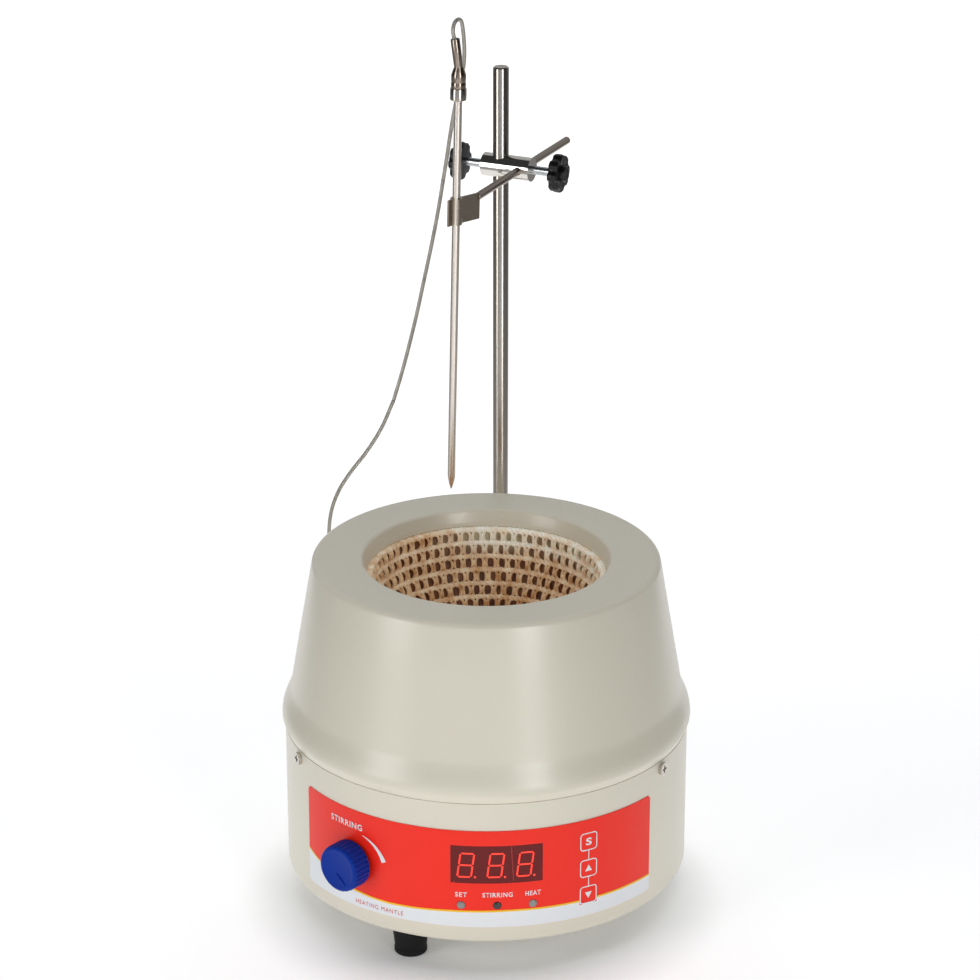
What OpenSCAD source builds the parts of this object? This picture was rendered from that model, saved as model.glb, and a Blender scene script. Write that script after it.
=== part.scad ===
// Stirring heating mantle for a 500 ml round flask, with support rod, clamp and temperature probe.
// Millimetres. +Z is up, the control panel faces -Y, and the origin is on the body's axis at bench level.

/* [View] */
// Which piece to draw

/* [Housing] */
// Outside radius of the lower housing
base_r = 99.5; // [80:0.5:130]
// Largest radius of the upper housing, at its flared skirt
skirt_r = 101; // [82:0.5:132]
// Radius where the tapered wall meets the top
top_r = 84.9; // [70:0.1:110]
// Height of the lower housing's bottom edge above the bench
base_z = 16; // [10:1:30]
// Height of the lower housing's wall
base_h = 74; // [50:1:100]
// Height of the upper housing
upper_h = 85.1; // [60:0.1:120]
// Sheet thickness of both housings
sheet = 1.5; // [0.8:0.1:3]
// Radius of the flask opening at the bottom of its lip
mouth_r = 58.2; // [40:0.1:80]
// Number of rubber feet
foot_count = 3; // [3:1:6]
// Direction of the first foot, from the front towards +X
foot_at = -22; // [-60:1:60]

/* [Heating bowl] */
// Inside radius of the knitted heating bowl
bowl_r = 55.5; // [40:0.5:70]
// Thickness of the knitted fabric
knit_t = 4.5; // [2:0.5:8]
// Thickness of the insulation behind it
insulation_t = 8.5; // [4:0.5:15]

/* [Control panel] */
// Half the angle that the panel film covers
panel_half = 56; // [30:1:80]
// Height of the film's lower edge
panel_z0 = 25; // [20:0.5:40]
// Height of the film
panel_h = 51; // [30:0.5:60]
// Direction of the stirring knob
knob_at = -36; // [-50:0.5:-20]
// Height of the stirring knob
knob_z = 48.5; // [35:0.5:65]
// Radius of the stirring knob
knob_r = 11.8; // [7:0.1:16]
// Depth of the stirring knob
knob_h = 10.5; // [6:0.5:20]
// Direction of the middle of the display
display_at = 6.6; // [-10:0.1:20]
// Direction of the key column
key_at = 33; // [25:0.5:45]
// Side of a key
key_side = 8.2; // [6:0.1:12]

/* [Stand] */
// Radius of the support rod
rod_r = 4; // [3:0.5:8]
// Length of the support rod
rod_len = 360; // [200:5:600]
// Distance of the rod behind the body's axis
rod_y = 112; // [105:0.5:130]
// Height of the clamp's centre
boss_z = 340; // [200:1:380]
// Radius of the clamp body
boss_r = 6; // [5:0.5:10]
// Length of the clamp body
boss_len = 26; // [20:1:50]
// Turn of the clamp about the rod
boss_turn = -21; // [-90:1:90]
// Radius of the probe arm
arm_r = 2; // [1.5:0.1:4]
// Length of the probe arm
arm_len = 110; // [60:1:200]

/* [Probe] */
// Radius of the probe's sheath
sheath_r = 2; // [1:0.1:4]
// Length of the sheath with its point
sheath_len = 200; // [100:5:400]
// Sideways lean of the probe in its clip
lean = 1.2; // [0:0.1:5]
// Diameter of the braided lead
lead_d = 2; // [1:0.1:4]

/* [Hidden] */

$fn = 64;
eps = 0.01;
run_gap = 0.05;   // radial gap of the turning and sliding fits
small_gap = 0.3;  // gap between pieces that only pass each other

base_top = base_z + base_h;
reveal = 0.4;                        // gap between the two housings
upper_z = base_top + reveal;
skirt_z = upper_z + 4;               // height where the skirt is widest
skirt_round = 16;                    // round of the skirt above that
skirt_foot = base_r - 0.2;           // radius of the skirt's bottom edge
top_z = upper_z + upper_h;
wall_slope = 0.1725;                 // taper of the upper wall, radius for height
wall_angle = atan(wall_slope);
edge_r = 3;                          // round of the top outer edge
lip_r = 2;                           // round of the mouth's top edge
lip_z = top_z - 8;                   // bottom of the mouth's lip
lip_land = 2.5;                      // upright stretch at the bottom of the lip
lip_top_r = mouth_r + 1.9;
spigot_r = base_r - sheet - 0.2;     // skirt that stands inside the lower housing
screw_z = 86;
screw_r = 1.9;                       // shank of the housing screws
screw_angles = [-62, 62, 118, -118];

plate_z = base_z + sheet;            // underside of the bottom plate
plate_top = plate_z + 1.5;
foot_circle = 84.5;
flange_r = 94.2;                     // inside of the lower housing's bottom flange
vent_angles = [for (i = [0:7]) 22.5 + 45 * i];

film_r = base_r + 0.4;
display_half = 12.7;
display_z0 = 48.4;
display_h = 19.8;
led_angles = [-3.2, 6.7, 16.6];
led_z = 36.6;
key_zs = [64.4, 50.2, 36];
board_at = 14;                       // direction that the control board faces
board_y = -86;
hidden_wall_r = base_r - sheet;

bowl_z = lip_z - 4.5;                // centre of the bowl's spheres
bowl_top = lip_z - small_gap;
knit_out = bowl_r + knit_t;
wire_r = 0.6;
insulation_in = knit_out + 2 * wire_r + 0.3;
support_in = insulation_in + insulation_t + 0.3;
support_out = support_in + 1;

socket_z0 = 26;
socket_h = 40;
rod_z = 31;
lock_z = 48;
socket_screw_zs = [36, 60];
inlet_at = 148;
switch_at = 124;
fuse_at = 165;
probe_socket_at = -155;
rocker_tilt = 8;
rear_z = 50;

arm_from_rod = 11.6;                 // distance between the rod's and the arm's bores
boss_short = 8.9;                    // clamp body on the rod's other side
star_t = 4.8;                        // thickness of the star knobs, without their hubs
rod_star_at = 20.2;                  // distance of the star knobs from the rod's axis
arm_star_at = 29;
arm_front = 54;                      // arm in front of the clamp's axis
clip_h = 13.2;
clip_t = 1;
wing_at = 45.8;                      // direction of the clip's long wing, to the arm's end
probe_x = -17.7;
probe_y = 48;
probe_z = boss_z - 4.2;              // middle of the clip
tip_below = 144.5;                   // point of the probe below the clip's middle
collar_z = sheath_len - tip_below;

// Route of the lead, from the probe's ferrule down to the coil, then from the coil to its socket
loop_route = [
    [-17.7, 48, 419.1], [-18.5, 48, 422.2], [-19, 48.3, 425], [-18.4, 49.5, 428.2],
    [-17, 52.3, 429.5], [-15.6, 55.2, 428.2], [-15, 56.4, 425], [-14.5, 57, 420], [-14.2, 57.4, 413],
    [-14.7, 58, 405], [-16.6, 58.9, 396], [-18.9, 60.2, 385], [-21.2, 62.3, 372], [-23.4, 65.5, 358],
    [-25.5, 69.3, 345.4]
];
upper_route = [[-25.6, 69.5, 345], [-27.6, 73.5, 333], [-30, 77, 320], [-33, 80, 305], [-36.1, 82.9, 290.4]];
lower_route = [[-36.2, 83, 290], [-39.8, 86, 273], [-44, 89, 255], [-48.6, 92, 237], [-53.3, 94.9, 220.6]];
rise_route = [
    [-53.5, 95, 220], [-60, 98, 204], [-68, 100, 190], [-76.5, 101.5, 178], [-83.5, 102.5, 166],
    [-87.6, 103, 153], [-88.6, 104, 138], [-86.5, 105.5, 118], [-82, 108, 96], [-76.5, 112, 72],
    [-73, 117, 48], [-71.3, 122, 24], [-71, 127.5, 9.5], [-71, 132, 4], [-71, 137, 2.6]
];
tail_route = [
    [-51, 109.3, 50], [-53.6, 114.8, 49.5], [-56.2, 120, 45.5], [-57.4, 123.2, 38], [-57, 124.5, 28],
    [-55, 125.5, 17], [-52.2, 127.5, 8], [-50, 131, 3], [-49.3, 134.6, 2.2]
];
coil_x = -58;
coil_y = 147;
coil_mid_r = 11;                     // middle of the turns
coil_w = 6;                          // width of the winding
coil_h = 4;                          // height of the winding
tube_sides = 8;

steel = [0.80, 0.78, 0.75];
dark_steel = [0.60, 0.56, 0.52];
zinc = [0.84, 0.86, 0.86];
cream = [0.84, 0.82, 0.75];
black = [0.08, 0.08, 0.09];
red = [0.90, 0.16, 0.10];
blue = [0.11, 0.20, 0.60];
knit_tan = [0.80, 0.68, 0.54];
board_green = [0.10, 0.36, 0.20];

// ---- shared helpers ----

// Puts a piece at a direction round the body: its +Y then points inwards and -Y outwards
module facing(angle, z = 0) {
    rotate([0, 0, angle]) translate([0, 0, z]) children();
}

// A round bar pointing outwards, between two distances from the axis
module radial_bar(angle, z, from, to, r) {
    facing(angle, z) translate([0, -from, 0]) rotate([90, 0, 0]) cylinder(h = to - from, r = r);
}

// A piece of a cylinder's wall between two directions
module wall_sector(angle, half, z0, h, r0, r1) {
    rotate([0, 0, angle - 90 - half]) rotate_extrude(angle = 2 * half, $fn = 720)
        translate([r0, z0]) square([r1 - r0, h]);
}

// A shell of a hollow ball, cut level at the top
module bowl_shell(inner, outer, top) {
    rotate_extrude($fn = 120) difference() {
        translate([0, bowl_z]) circle(r = outer, $fn = 120);
        translate([0, bowl_z]) circle(r = inner, $fn = 120);
        translate([-2 * outer, top]) square([4 * outer, 2 * outer]);
        translate([-2 * outer, bowl_z - 2 * outer]) square([2 * outer, 4 * outer]);
    }
}

function unit(v) = v / norm(v);
function along(points, i) = unit(
    points[min(i + 1, len(points) - 1)] - points[max(i - 1, 0)]
);
function side_of(d) = unit(cross([1, 0, 0], d));
function smoothed(p) = [
    for (i = [0:len(p) - 2]) each [
        p[i], (9 * (p[i] + p[i + 1]) - p[max(i - 1, 0)] - p[min(i + 2, len(p) - 1)]) / 16
    ],
    p[len(p) - 1]
];

// A tube along a route, with a flat ring of corners at each point
module tube(points, d) {
    n = tube_sides;
    count = len(points);
    corners = [
        for (i = [0:count - 1])
            let (t = along(points, i), a = side_of(t), b = cross(t, a))
            for (k = [0:n - 1]) points[i] + d / 2 * (a * cos(360 * k / n) + b * sin(360 * k / n))
    ];
    walls = [
        for (i = [0:count - 2])
            for (k = [0:n - 1])
                let (a = i * n + k, b = i * n + (k + 1) % n)
                    each [[a, a + n, b + n], [a, b + n, b]]
    ];
    ends = [[for (k = [0:n - 1]) k], [for (k = [n - 1:-1:0]) (count - 1) * n + k]];
    polyhedron(points = corners, faces = concat(walls, ends));
}

module pan_screw(head_r, head_h, shank_r, length) {
    difference() {
        cylinder(h = head_h, r = head_r);
        translate([-head_r * 0.6, -0.5, head_h - 0.9]) cube([head_r * 1.2, 1, 2]);
        translate([-0.5, -head_r * 0.6, head_h - 0.9]) cube([1, head_r * 1.2, 2]);
    }
    translate([0, 0, -length]) cylinder(h = length + eps, r = shank_r);
}

// Square openings for the keys, through the film and the wall
module key_openings(depth) {
    side = key_side + 2 * small_gap;
    for (z = key_zs) facing(key_at, z) translate([0, -base_r, 0]) cube([side, depth, side], center = true);
}

// ---- housing ----

module base_housing() {
    color(cream) difference() {
        rotate_extrude($fn = 180) {
            translate([base_r - sheet, base_z + 3]) square([sheet, base_h - 3]);
            translate([flange_r, base_z]) square([base_r - 3 - flange_r, sheet]);
            intersection() {
                translate([base_r - 3, base_z]) square([3, 3]);
                difference() {
                    translate([base_r - 3, base_z + 3]) circle(r = 3, $fn = 48);
                    translate([base_r - 3, base_z + 3]) circle(r = 3 - sheet, $fn = 48);
                }
            }
        }
        facing(display_at) translate([-20, -base_r - 2, display_z0 + 1]) cube([40, 8, display_h - 2]);
        for (a = led_angles) radial_bar(a, led_z, 90, base_r + 2, 2.3);
        key_openings(10);
        radial_bar(knob_at, knob_z, 90, base_r + 2, 4.1);
        for (a = screw_angles) radial_bar(a, screw_z, 90, base_r + 2, 2);
        for (z = socket_screw_zs) radial_bar(180, z, 90, base_r + 2, 2.1);
        facing(inlet_at) translate([-13.8, -base_r - 2, rear_z - 10.3]) cube([27.6, 10, 20.6]);
        facing(switch_at) translate([-6.6, -base_r - 2, rear_z - 9.6]) cube([13.2, 10, 19.2]);
        radial_bar(fuse_at, rear_z, 90, base_r + 2, 5.1);
        radial_bar(probe_socket_at, rear_z, 90, base_r + 2, 6.1);
    }
}

// Outline of the upper housing, filled to the axis
module upper_outline() {
    round_x = top_r - edge_r / cos(wall_angle) + edge_r * wall_slope;
    difference() {
        union() {
            polygon([
                [0, upper_z],
                [top_r + upper_h * wall_slope, upper_z],
                [round_x + edge_r * cos(wall_angle), top_z - edge_r + edge_r * sin(wall_angle)],
                [round_x, top_z - edge_r],
                [round_x, top_z],
                [0, top_z]
            ]);
            translate([round_x, top_z - edge_r]) circle(r = edge_r, $fn = 72);
            translate([skirt_r - skirt_round, skirt_z]) circle(r = skirt_round, $fn = 120);
        }
        polygon([
            [skirt_foot, upper_z - 5], [skirt_foot, upper_z], [skirt_r + 0.2, skirt_z + 0.2],
            [skirt_r + 5, skirt_z + 0.2], [skirt_r + 5, upper_z - 5]
        ]);
        translate([-200, upper_z - 40]) square([400, 40]);
        translate([-200, upper_z - 40]) square([200, 200]);
    }
}

module upper_housing() {
    inner_low = top_r + upper_h * wall_slope - 2;
    inner_top = top_r - 2;
    color(cream) difference() {
        upper_shell(inner_low, inner_top);
        for (a = screw_angles) radial_bar(a, screw_z, 90, base_r, screw_r);
    }
}

// The upper housing's wall, mouth and spigot, before its screw holes
module upper_shell(inner_low, inner_top) {
    rotate_extrude($fn = 180) {
        difference() {
            upper_outline();
            polygon([
                [0, upper_z - 1], [inner_low, upper_z - 1],
                [inner_top, top_z - sheet], [0, top_z - sheet]
            ]);
            square([lip_top_r + lip_r, 400]);
        }
        polygon([
            [mouth_r, lip_z], [mouth_r + sheet, lip_z], [mouth_r + sheet, lip_z + lip_land],
            [lip_top_r + sheet + 0.2, top_z - lip_r], [lip_top_r + lip_r, top_z - lip_r],
            [lip_top_r, top_z - lip_r], [mouth_r, lip_z + lip_land]
        ]);
        intersection() {
            translate([lip_top_r + lip_r, top_z - lip_r]) circle(r = lip_r, $fn = 72);
            translate([lip_top_r - 0.1, top_z - lip_r - 0.3]) square([lip_r + 0.1 + eps, lip_r + 0.3]);
        }
        translate([spigot_r - sheet, screw_z - 8]) square([sheet, upper_z - screw_z + 8 + eps]);
        translate([spigot_r - sheet, upper_z]) square([sheet + 1, 2]);
    }
}

module bottom_plate() {
    color(cream) difference() {
        translate([0, 0, plate_z]) cylinder(h = plate_top - plate_z, r = hidden_wall_r - 1.7, $fn = 180);
        for (i = [0:foot_count - 1])
            facing(foot_at + 360 / foot_count * i) translate([0, -foot_circle, plate_z - 1])
                cylinder(h = 4, r = 2.1);
        for (a = vent_angles)
            facing(a) translate([-1.75, -66, plate_z - 1]) cube([3.5, 26, 4]);
        for (x = [-40, 40]) translate([x, 0, plate_z - 1]) cylinder(h = 4, r = 1.6);
    }
}

module feet() {
    color(black) for (i = [0:foot_count - 1])
        facing(foot_at + 360 / foot_count * i) translate([0, -foot_circle, 0])
            rotate_extrude($fn = 72) polygon([
                [0, 4], [4.2, 4], [4.2, 0], [7.5, 0], [8, 0.6], [8, 2.6],
                [7.7, 3], [9.2, 15.5], [9.2, plate_z], [2.1, plate_z], [2.1, 6], [0, 6]
            ]);
}

module foot_screws() {
    color(steel) for (i = [0:foot_count - 1])
        facing(foot_at + 360 / foot_count * i) translate([0, -foot_circle, 0]) {
            translate([0, 0, 6]) cylinder(h = plate_top - 6 + 3, r = 2);
            translate([0, 0, plate_top]) cylinder(h = 3, r = 4.4, $fn = 6);
        }
}

module housing_screws() {
    color(steel) for (a = screw_angles)
        facing(a, screw_z) translate([0, -base_r, 0]) rotate([90, 0, 0])
            pan_screw(3.2, 1.8, screw_r, 3.6);
}

// ---- control panel ----

module front_panel() {
    color(red) difference() {
        wall_sector(0, panel_half, panel_z0, panel_h, base_r, film_r);
        for (a = [-panel_half, panel_half]) for (z = [panel_z0, panel_z0 + panel_h])
            facing(a, z) translate([0, -base_r, 0]) rotate([0, 45, 0]) cube([2, 8, 2], center = true);
        wall_sector(display_at, display_half, display_z0, display_h, base_r - 1, film_r + 1);
        for (a = led_angles) radial_bar(a, led_z, 96, film_r + 2, 2.1);
        radial_bar(knob_at, knob_z, 96, film_r + 2, 4.1);
        key_openings(6);
    }
}

module display_window() {
    color([0.35, 0.05, 0.05]) wall_sector(
        display_at, display_half - 0.03, display_z0 + 0.05, display_h - 0.1, base_r, film_r
    );
}

module display_module() {
    color([0.15, 0.05, 0.05]) facing(display_at)
        translate([-19, -95, display_z0 + 1.4]) cube([38, 5, display_h - 2.8]);
}

module indicator_leds() {
    color([0.75, 0.76, 0.76]) for (a = led_angles) radial_bar(a, led_z, 93, film_r, 2.05);
}

module control_board() {
    color(board_green) facing(board_at)
        translate([-40, board_y, 27]) cube([80, 1.6, 46]);
}

module board_posts() {
    color(steel) facing(board_at) for (x = [-34, 34]) {
        translate([x - 4, board_y + 1.6, plate_top]) cube([8, 1.5, 20]);
        translate([x - 4, board_y + 3.1, plate_top]) cube([8, 8, 1.5]);
    }
}

module key_switches() {
    color(black) facing(board_at) for (z = key_zs)
        translate([95 * sin(key_at - board_at) - 3, board_y - 4.4, z - 3]) cube([6, 4.4, 6]);
}

module key(z) {
    color(red) {
        intersection() {
            facing(key_at, z) translate([0, -base_r, 0]) cube([key_side, 8, key_side], center = true);
            wall_sector(key_at, 6, z - key_side, 2 * key_side, film_r - 1.2, film_r);
        }
        radial_bar(key_at, z, 97, film_r - 0.6, 2);
    }
}

module potentiometer() {
    color(dark_steel) difference() {
        union() {
            radial_bar(knob_at, knob_z, 84, 93, 8.5);
            radial_bar(knob_at, knob_z, 93 - eps, 102, 3.9);
        }
        radial_bar(knob_at, knob_z, 83, 103, 3 + run_gap);
    }
}

module pot_nut() {
    color(steel) difference() {
        facing(knob_at, knob_z) translate([0, -film_r, 0]) rotate([90, 0, 0])
            cylinder(h = 1.8, r = 6.2, $fn = 6);
        radial_bar(knob_at, knob_z, 96, 104, 3.92);
    }
}

module stir_knob() {
    rear = film_r + 1.2;
    face = rear + knob_h;
    color(blue) facing(knob_at, knob_z) translate([0, -rear, 0]) rotate([90, 0, 0]) difference() {
        union() {
            cylinder(h = knob_h - 1.2, r = knob_r);
            translate([0, 0, knob_h - 1.2 - eps])
                rotate_extrude() intersection() {
                    square([knob_r, 1.2 + eps]);
                    union() {
                        square([knob_r - 1.2, 1.2 + eps]);
                        translate([knob_r - 1.2, 0]) circle(r = 1.2);
                    }
                }
        }
        translate([0, 0, -1]) cylinder(h = 3, r = 8);
        translate([0, 0, -1]) cylinder(h = knob_h - 1.5, r = 3);
        for (i = [0:29]) rotate([0, 0, 12 * i]) translate([knob_r + 0.35, 0, 1.5]) cylinder(h = knob_h, r = 0.8);
    }
}

module pot_shaft() {
    color(steel) radial_bar(knob_at, knob_z, 85, film_r + 1.2 + knob_h - 2.5, 3);
}

// ---- heating bowl ----

module knit_bowl() {
    color(knit_tan) bowl_shell(bowl_r, knit_out, bowl_top);
}

module heating_element() {
    color(dark_steel) rotate_extrude($fn = 120) for (i = [1:8])
        translate([
            (knit_out + 0.15 + wire_r) * sin(10 * i),
            bowl_z - (knit_out + 0.15 + wire_r) * cos(10 * i)
        ]) circle(r = wire_r, $fn = 16);
}

module insulation_bowl() {
    color([0.92, 0.90, 0.84]) bowl_shell(insulation_in, insulation_in + insulation_t, bowl_top);
}

module support_bowl() {
    color(steel) difference() {
        union() {
            bowl_shell(support_in, support_out, bowl_top - 1.2);
            translate([0, 0, bowl_top - 1.2]) difference() {
                cylinder(h = 1.2, r = support_out + 6, $fn = 120);
                translate([0, 0, -1]) cylinder(h = 4, r = support_in, $fn = 120);
            }
        }
    }
}

module bowl_posts() {
    color(zinc) for (a = [60, 180, 300]) facing(a) translate([0, -support_out - 3, bowl_top])
        cylinder(h = top_z - sheet - bowl_top, r = 2.5);
}

// ---- stirring drive and electrics ----

module stir_motor() {
    color(dark_steel) difference() {
        union() {
            translate([0, 0, 38]) cylinder(h = 32, r = 18);
            translate([0, 0, 34]) cylinder(h = 4 + eps, r = 6);
        }
        translate([0, 0, 30]) cylinder(h = 60, r = 2 + run_gap);
    }
}

module motor_bracket() {
    color(zinc) difference() {
        union() {
            translate([-46, -20, 70]) cube([92, 40, 1.5]);
            for (s = [-1, 1]) {
                translate([s * 45.25 - 0.75, -20, plate_top]) cube([1.5, 40, 70 - plate_top + 1]);
                translate([s * 40.75 - 5.25, -20, plate_top]) cube([10.5, 40, 1.5]);
            }
        }
        translate([0, 0, 69]) cylinder(h = 5, r = 7);
        for (x = [-12, 12]) translate([x, 0, 69]) cylinder(h = 5, r = 1.6);
        for (x = [-40, 40]) translate([x, 0, plate_top - 1]) cylinder(h = 4, r = 1.6);
    }
}

module frame_screws() {
    color(zinc) {
        for (x = [-12, 12]) translate([x, 0, 71.5]) {
            cylinder(h = 2, r = 2.8);
            translate([0, 0, -1.5]) cylinder(h = 2, r = 1.5);
        }
        for (x = [-40, 40]) translate([x, 0, plate_z - 1.6]) {
            cylinder(h = 1.6, r = 2.8);
            cylinder(h = 7, r = 1.5);
        }
        facing(180) for (z = socket_screw_zs)
            translate([0, -hidden_wall_r + 0.1, z]) rotate([90, 0, 0]) {
                translate([0, 0, -2.6]) cylinder(h = 2.6 + eps, r = 3.6);
                cylinder(h = 8, r = 2);
            }
    }
}

module motor_shaft() {
    color(steel) translate([0, 0, 36]) cylinder(h = 46, r = 2);
}

module magnet_holder() {
    color(zinc) difference() {
        union() {
            translate([0, 0, 80]) cylinder(h = 6.5, r = 22);
            translate([0, 0, 76]) cylinder(h = 4 + eps, r = 5);
        }
        translate([0, 0, 70]) cylinder(h = 12, r = 2);
        for (x = [-14, 14]) translate([x, 0, 82]) cylinder(h = 6, r = 6);
    }
}

module magnets() {
    color(dark_steel) for (x = [-14, 14]) translate([x, 0, 82]) cylinder(h = 5, r = 6);
}

module heat_sink() {
    color(zinc) translate([50, -32, plate_top]) {
        cube([24, 30, 3]);
        for (i = [0:5]) translate([i * 4.4, 0, 3 - eps]) cube([2, 30, 18]);
    }
}

module transformer() {
    color(dark_steel) translate([-76, -18, plate_top]) {
        cube([24, 30, 26]);
        translate([-3, 6, 4]) cube([30, 18, 18]);
    }
}

module terminal_block() {
    color([0.9, 0.9, 0.86]) translate([12, 56, plate_top]) difference() {
        cube([36, 12, 12]);
        for (i = [0:3]) translate([4.5 + 9 * i, 6, 5]) cylinder(h = 10, r = 2);
    }
}

// ---- rear fittings ----

module rod_socket() {
    color(zinc) difference() {
        translate([-9, 94, socket_z0]) cube([18, rod_y - 94 + 9, socket_h]);
        translate([0, 0, -1]) cylinder(h = 200, r = base_r, $fn = 180);
        translate([0, rod_y, rod_z]) cylinder(h = 100, r = rod_r + run_gap);
        translate([0, rod_y, lock_z]) rotate([-90, 0, 0]) cylinder(h = 30, r = 2.5 + run_gap);
        for (z = socket_screw_zs) translate([0, 90, z]) rotate([-90, 0, 0]) cylinder(h = 16.2, r = 2);
    }
}

module socket_screw() {
    color(dark_steel) translate([0, rod_y + rod_r + 0.02, lock_z]) rotate([-90, 0, 0]) {
        cylinder(h = 9, r = 2.5);
        translate([0, 0, 8]) difference() {
            cylinder(h = 9, r = 7);
            for (i = [0:17]) rotate([0, 0, 20 * i]) translate([7.4, 0, -1]) cylinder(h = 12, r = 0.8);
        }
    }
}

// A plate that lies on the curved wall, with a flat outer face
module wall_plate(angle, w, h, out) {
    difference() {
        facing(angle, rear_z) translate([-w / 2, -out, -h / 2]) cube([w, out - 94, h]);
        cylinder(h = 200, r = base_r, $fn = 180);
    }
}

module power_inlet() {
    color(black) difference() {
        union() {
            wall_plate(inlet_at, 31, 24, base_r + 2.5);
            facing(inlet_at, rear_z) translate([-13.5, -base_r - 1, -10]) cube([27, 21, 20]);
        }
        facing(inlet_at, rear_z) translate([-12, -base_r - 6, -8.2]) cube([24, 22, 16.4]);
    }
}

module inlet_pins() {
    color(steel) facing(inlet_at, rear_z) for (p = [[-7, -2], [0, 2], [7, -2]])
        translate([p[0] - 1, -base_r + 3, p[1] - 2]) cube([2, 13, 4]);
}

module power_switch() {
    color(black) difference() {
        union() {
            wall_plate(switch_at, 15, 21, base_r + 2);
            facing(switch_at, rear_z) translate([-6.5, -base_r - 1, -9.5]) cube([13, 15, 19]);
        }
        facing(switch_at, rear_z) translate([-5.2, -base_r - 6, -8.2]) cube([10.4, 16, 16.4]);
        rocker_pivot(12.4, 1 + run_gap);
    }
}

module rocker_pivot(length, r) {
    facing(switch_at, rear_z) translate([-length / 2, -base_r + 4, 0]) rotate([0, 90, 0])
        cylinder(h = length, r = r);
}

module power_rocker() {
    color(red) {
        facing(switch_at, rear_z) translate([0, -base_r + 4, 0]) rotate([0, 90, 0])
            rotate([0, 0, rocker_tilt]) translate([0, 0, -4.8]) linear_extrude(9.6)
                polygon([[-6.9, -7.4], [0, -5.8], [6.9, -7.4], [5.5, 2.5], [-5.5, 2.5]]);
        rocker_pivot(12, 1);
    }
}

module fuse_holder() {
    color(black) {
        radial_bar(fuse_at, rear_z, 78, base_r + 1, 5);
        difference() {
            radial_bar(fuse_at, rear_z, 96, base_r + 5, 6.5);
            cylinder(h = 200, r = base_r, $fn = 180);
            facing(fuse_at, rear_z) translate([-5, -base_r - 7, -0.75]) cube([10, 3.5, 1.5]);
        }
    }
}

module probe_socket() {
    color(steel) difference() {
        union() {
            radial_bar(probe_socket_at, rear_z, 88, base_r + 1, 6);
            difference() {
                radial_bar(probe_socket_at, rear_z, 96, base_r + 4, 8);
                cylinder(h = 200, r = base_r, $fn = 180);
            }
        }
        radial_bar(probe_socket_at, rear_z, 94, base_r + 6, 4.6);
    }
}

// ---- stand and clamp ----

module support_rod() {
    color(steel) translate([0, rod_y, rod_z]) {
        cylinder(h = rod_len - 0.6, r = rod_r);
        translate([0, 0, rod_len - 0.6]) cylinder(h = 0.6, r1 = rod_r, r2 = rod_r - 0.6);
    }
}

// The clamp's own frame: X along its body, with the rod's axis at its origin
module at_boss() {
    translate([0, rod_y, boss_z]) rotate([0, 0, boss_turn]) children();
}

module boss_head() {
    color(steel) at_boss() difference() {
        translate([-boss_short, 0, 0]) rotate([0, 90, 0]) cylinder(h = boss_len, r = boss_r);
        translate([0, 0, -20]) cylinder(h = 40, r = rod_r + run_gap);
        translate([arm_from_rod, 20, 0]) rotate([90, 0, 0]) cylinder(h = 40, r = arm_r + run_gap);
        translate([-30, 0, 0]) rotate([0, 90, 0]) cylinder(h = 30, r = 2.2 + run_gap);
        translate([arm_from_rod, 0, 0]) rotate([0, 90, 0]) cylinder(h = 30, r = 2.2 + run_gap);
    }
}

// Clamp stud along +X from its pressing end
module stud(length) {
    rotate([0, 90, 0]) cylinder(h = length, r = 2.2);
}

// Star knob along +X: eight lobes, with a hub on its outer side
module star_knob() {
    color(black) rotate([0, 90, 0]) difference() {
        union() {
            cylinder(h = star_t, r = 9.7);
            translate([0, 0, star_t - eps]) cylinder(h = 2.2, r = 4);
        }
        for (i = [0:7]) rotate([0, 0, 22.5 + 45 * i]) translate([11.2, 0, -1]) cylinder(h = 10, r = 2.7);
        translate([0, 0, -1]) cylinder(h = 6, r = 2.2);
    }
}

module rod_stud() {
    color(zinc) at_boss() mirror([1, 0, 0]) translate([rod_r + 0.02, 0, 0]) stud(20.4);
}

module rod_star_knob() {
    at_boss() mirror([1, 0, 0]) translate([rod_star_at, 0, 0]) star_knob();
}

module arm_stud() {
    color(zinc) at_boss() translate([arm_from_rod + arm_r + 0.02, 0, 0]) stud(19.8);
}

module arm_star_knob() {
    at_boss() translate([arm_star_at, 0, 0]) star_knob();
}

// The arm has a slot in its front end for the clip's long wing
module probe_arm() {
    color(dark_steel) difference() {
        at_boss() translate([arm_from_rod, -arm_front, 0]) rotate([-90, 0, 0]) {
            cylinder(h = arm_len - 0.4, r = arm_r);
            translate([0, 0, arm_len - 0.4]) cylinder(h = 0.4, r1 = arm_r, r2 = arm_r - 0.4);
        }
        at_probe() translate([0, 0, -clip_h / 2]) linear_extrude(clip_h) wing_outline();
    }
}

// ---- probe ----

// The probe's own frame: Z along the sheath, with the clip's middle at its origin
module at_probe() {
    translate([probe_x, probe_y, probe_z]) rotate([0, lean, 0]) children();
}

function clip_gap(angle) = 14 * [cos(angle), sin(angle)];

// The clip's long wing, which stands in the arm's slot
module wing_outline() {
    rotate(wing_at) translate([sheath_r + 0.3, -clip_t / 2]) square([12.6, clip_t]);
}

module probe_clip() {
    grip_r = sheath_r + run_gap;
    color(dark_steel) at_probe() translate([0, 0, -clip_h / 2]) linear_extrude(clip_h) {
        difference() {
            circle(r = grip_r + clip_t);
            circle(r = grip_r);
            polygon([[0, 0], clip_gap(-120), clip_gap(-80)]);
        }
        rotate(-120) translate([grip_r + 0.1, -clip_t]) square([4.2, clip_t]);
        wing_outline();
    }
}

module probe_sheath() {
    point = 7;
    color(steel) at_probe() translate([0, 0, -tip_below]) {
        cylinder(h = point, r1 = 0.25, r2 = sheath_r);
        translate([0, 0, point]) cylinder(h = sheath_len - point + 1.5, r = sheath_r);
    }
}

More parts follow.
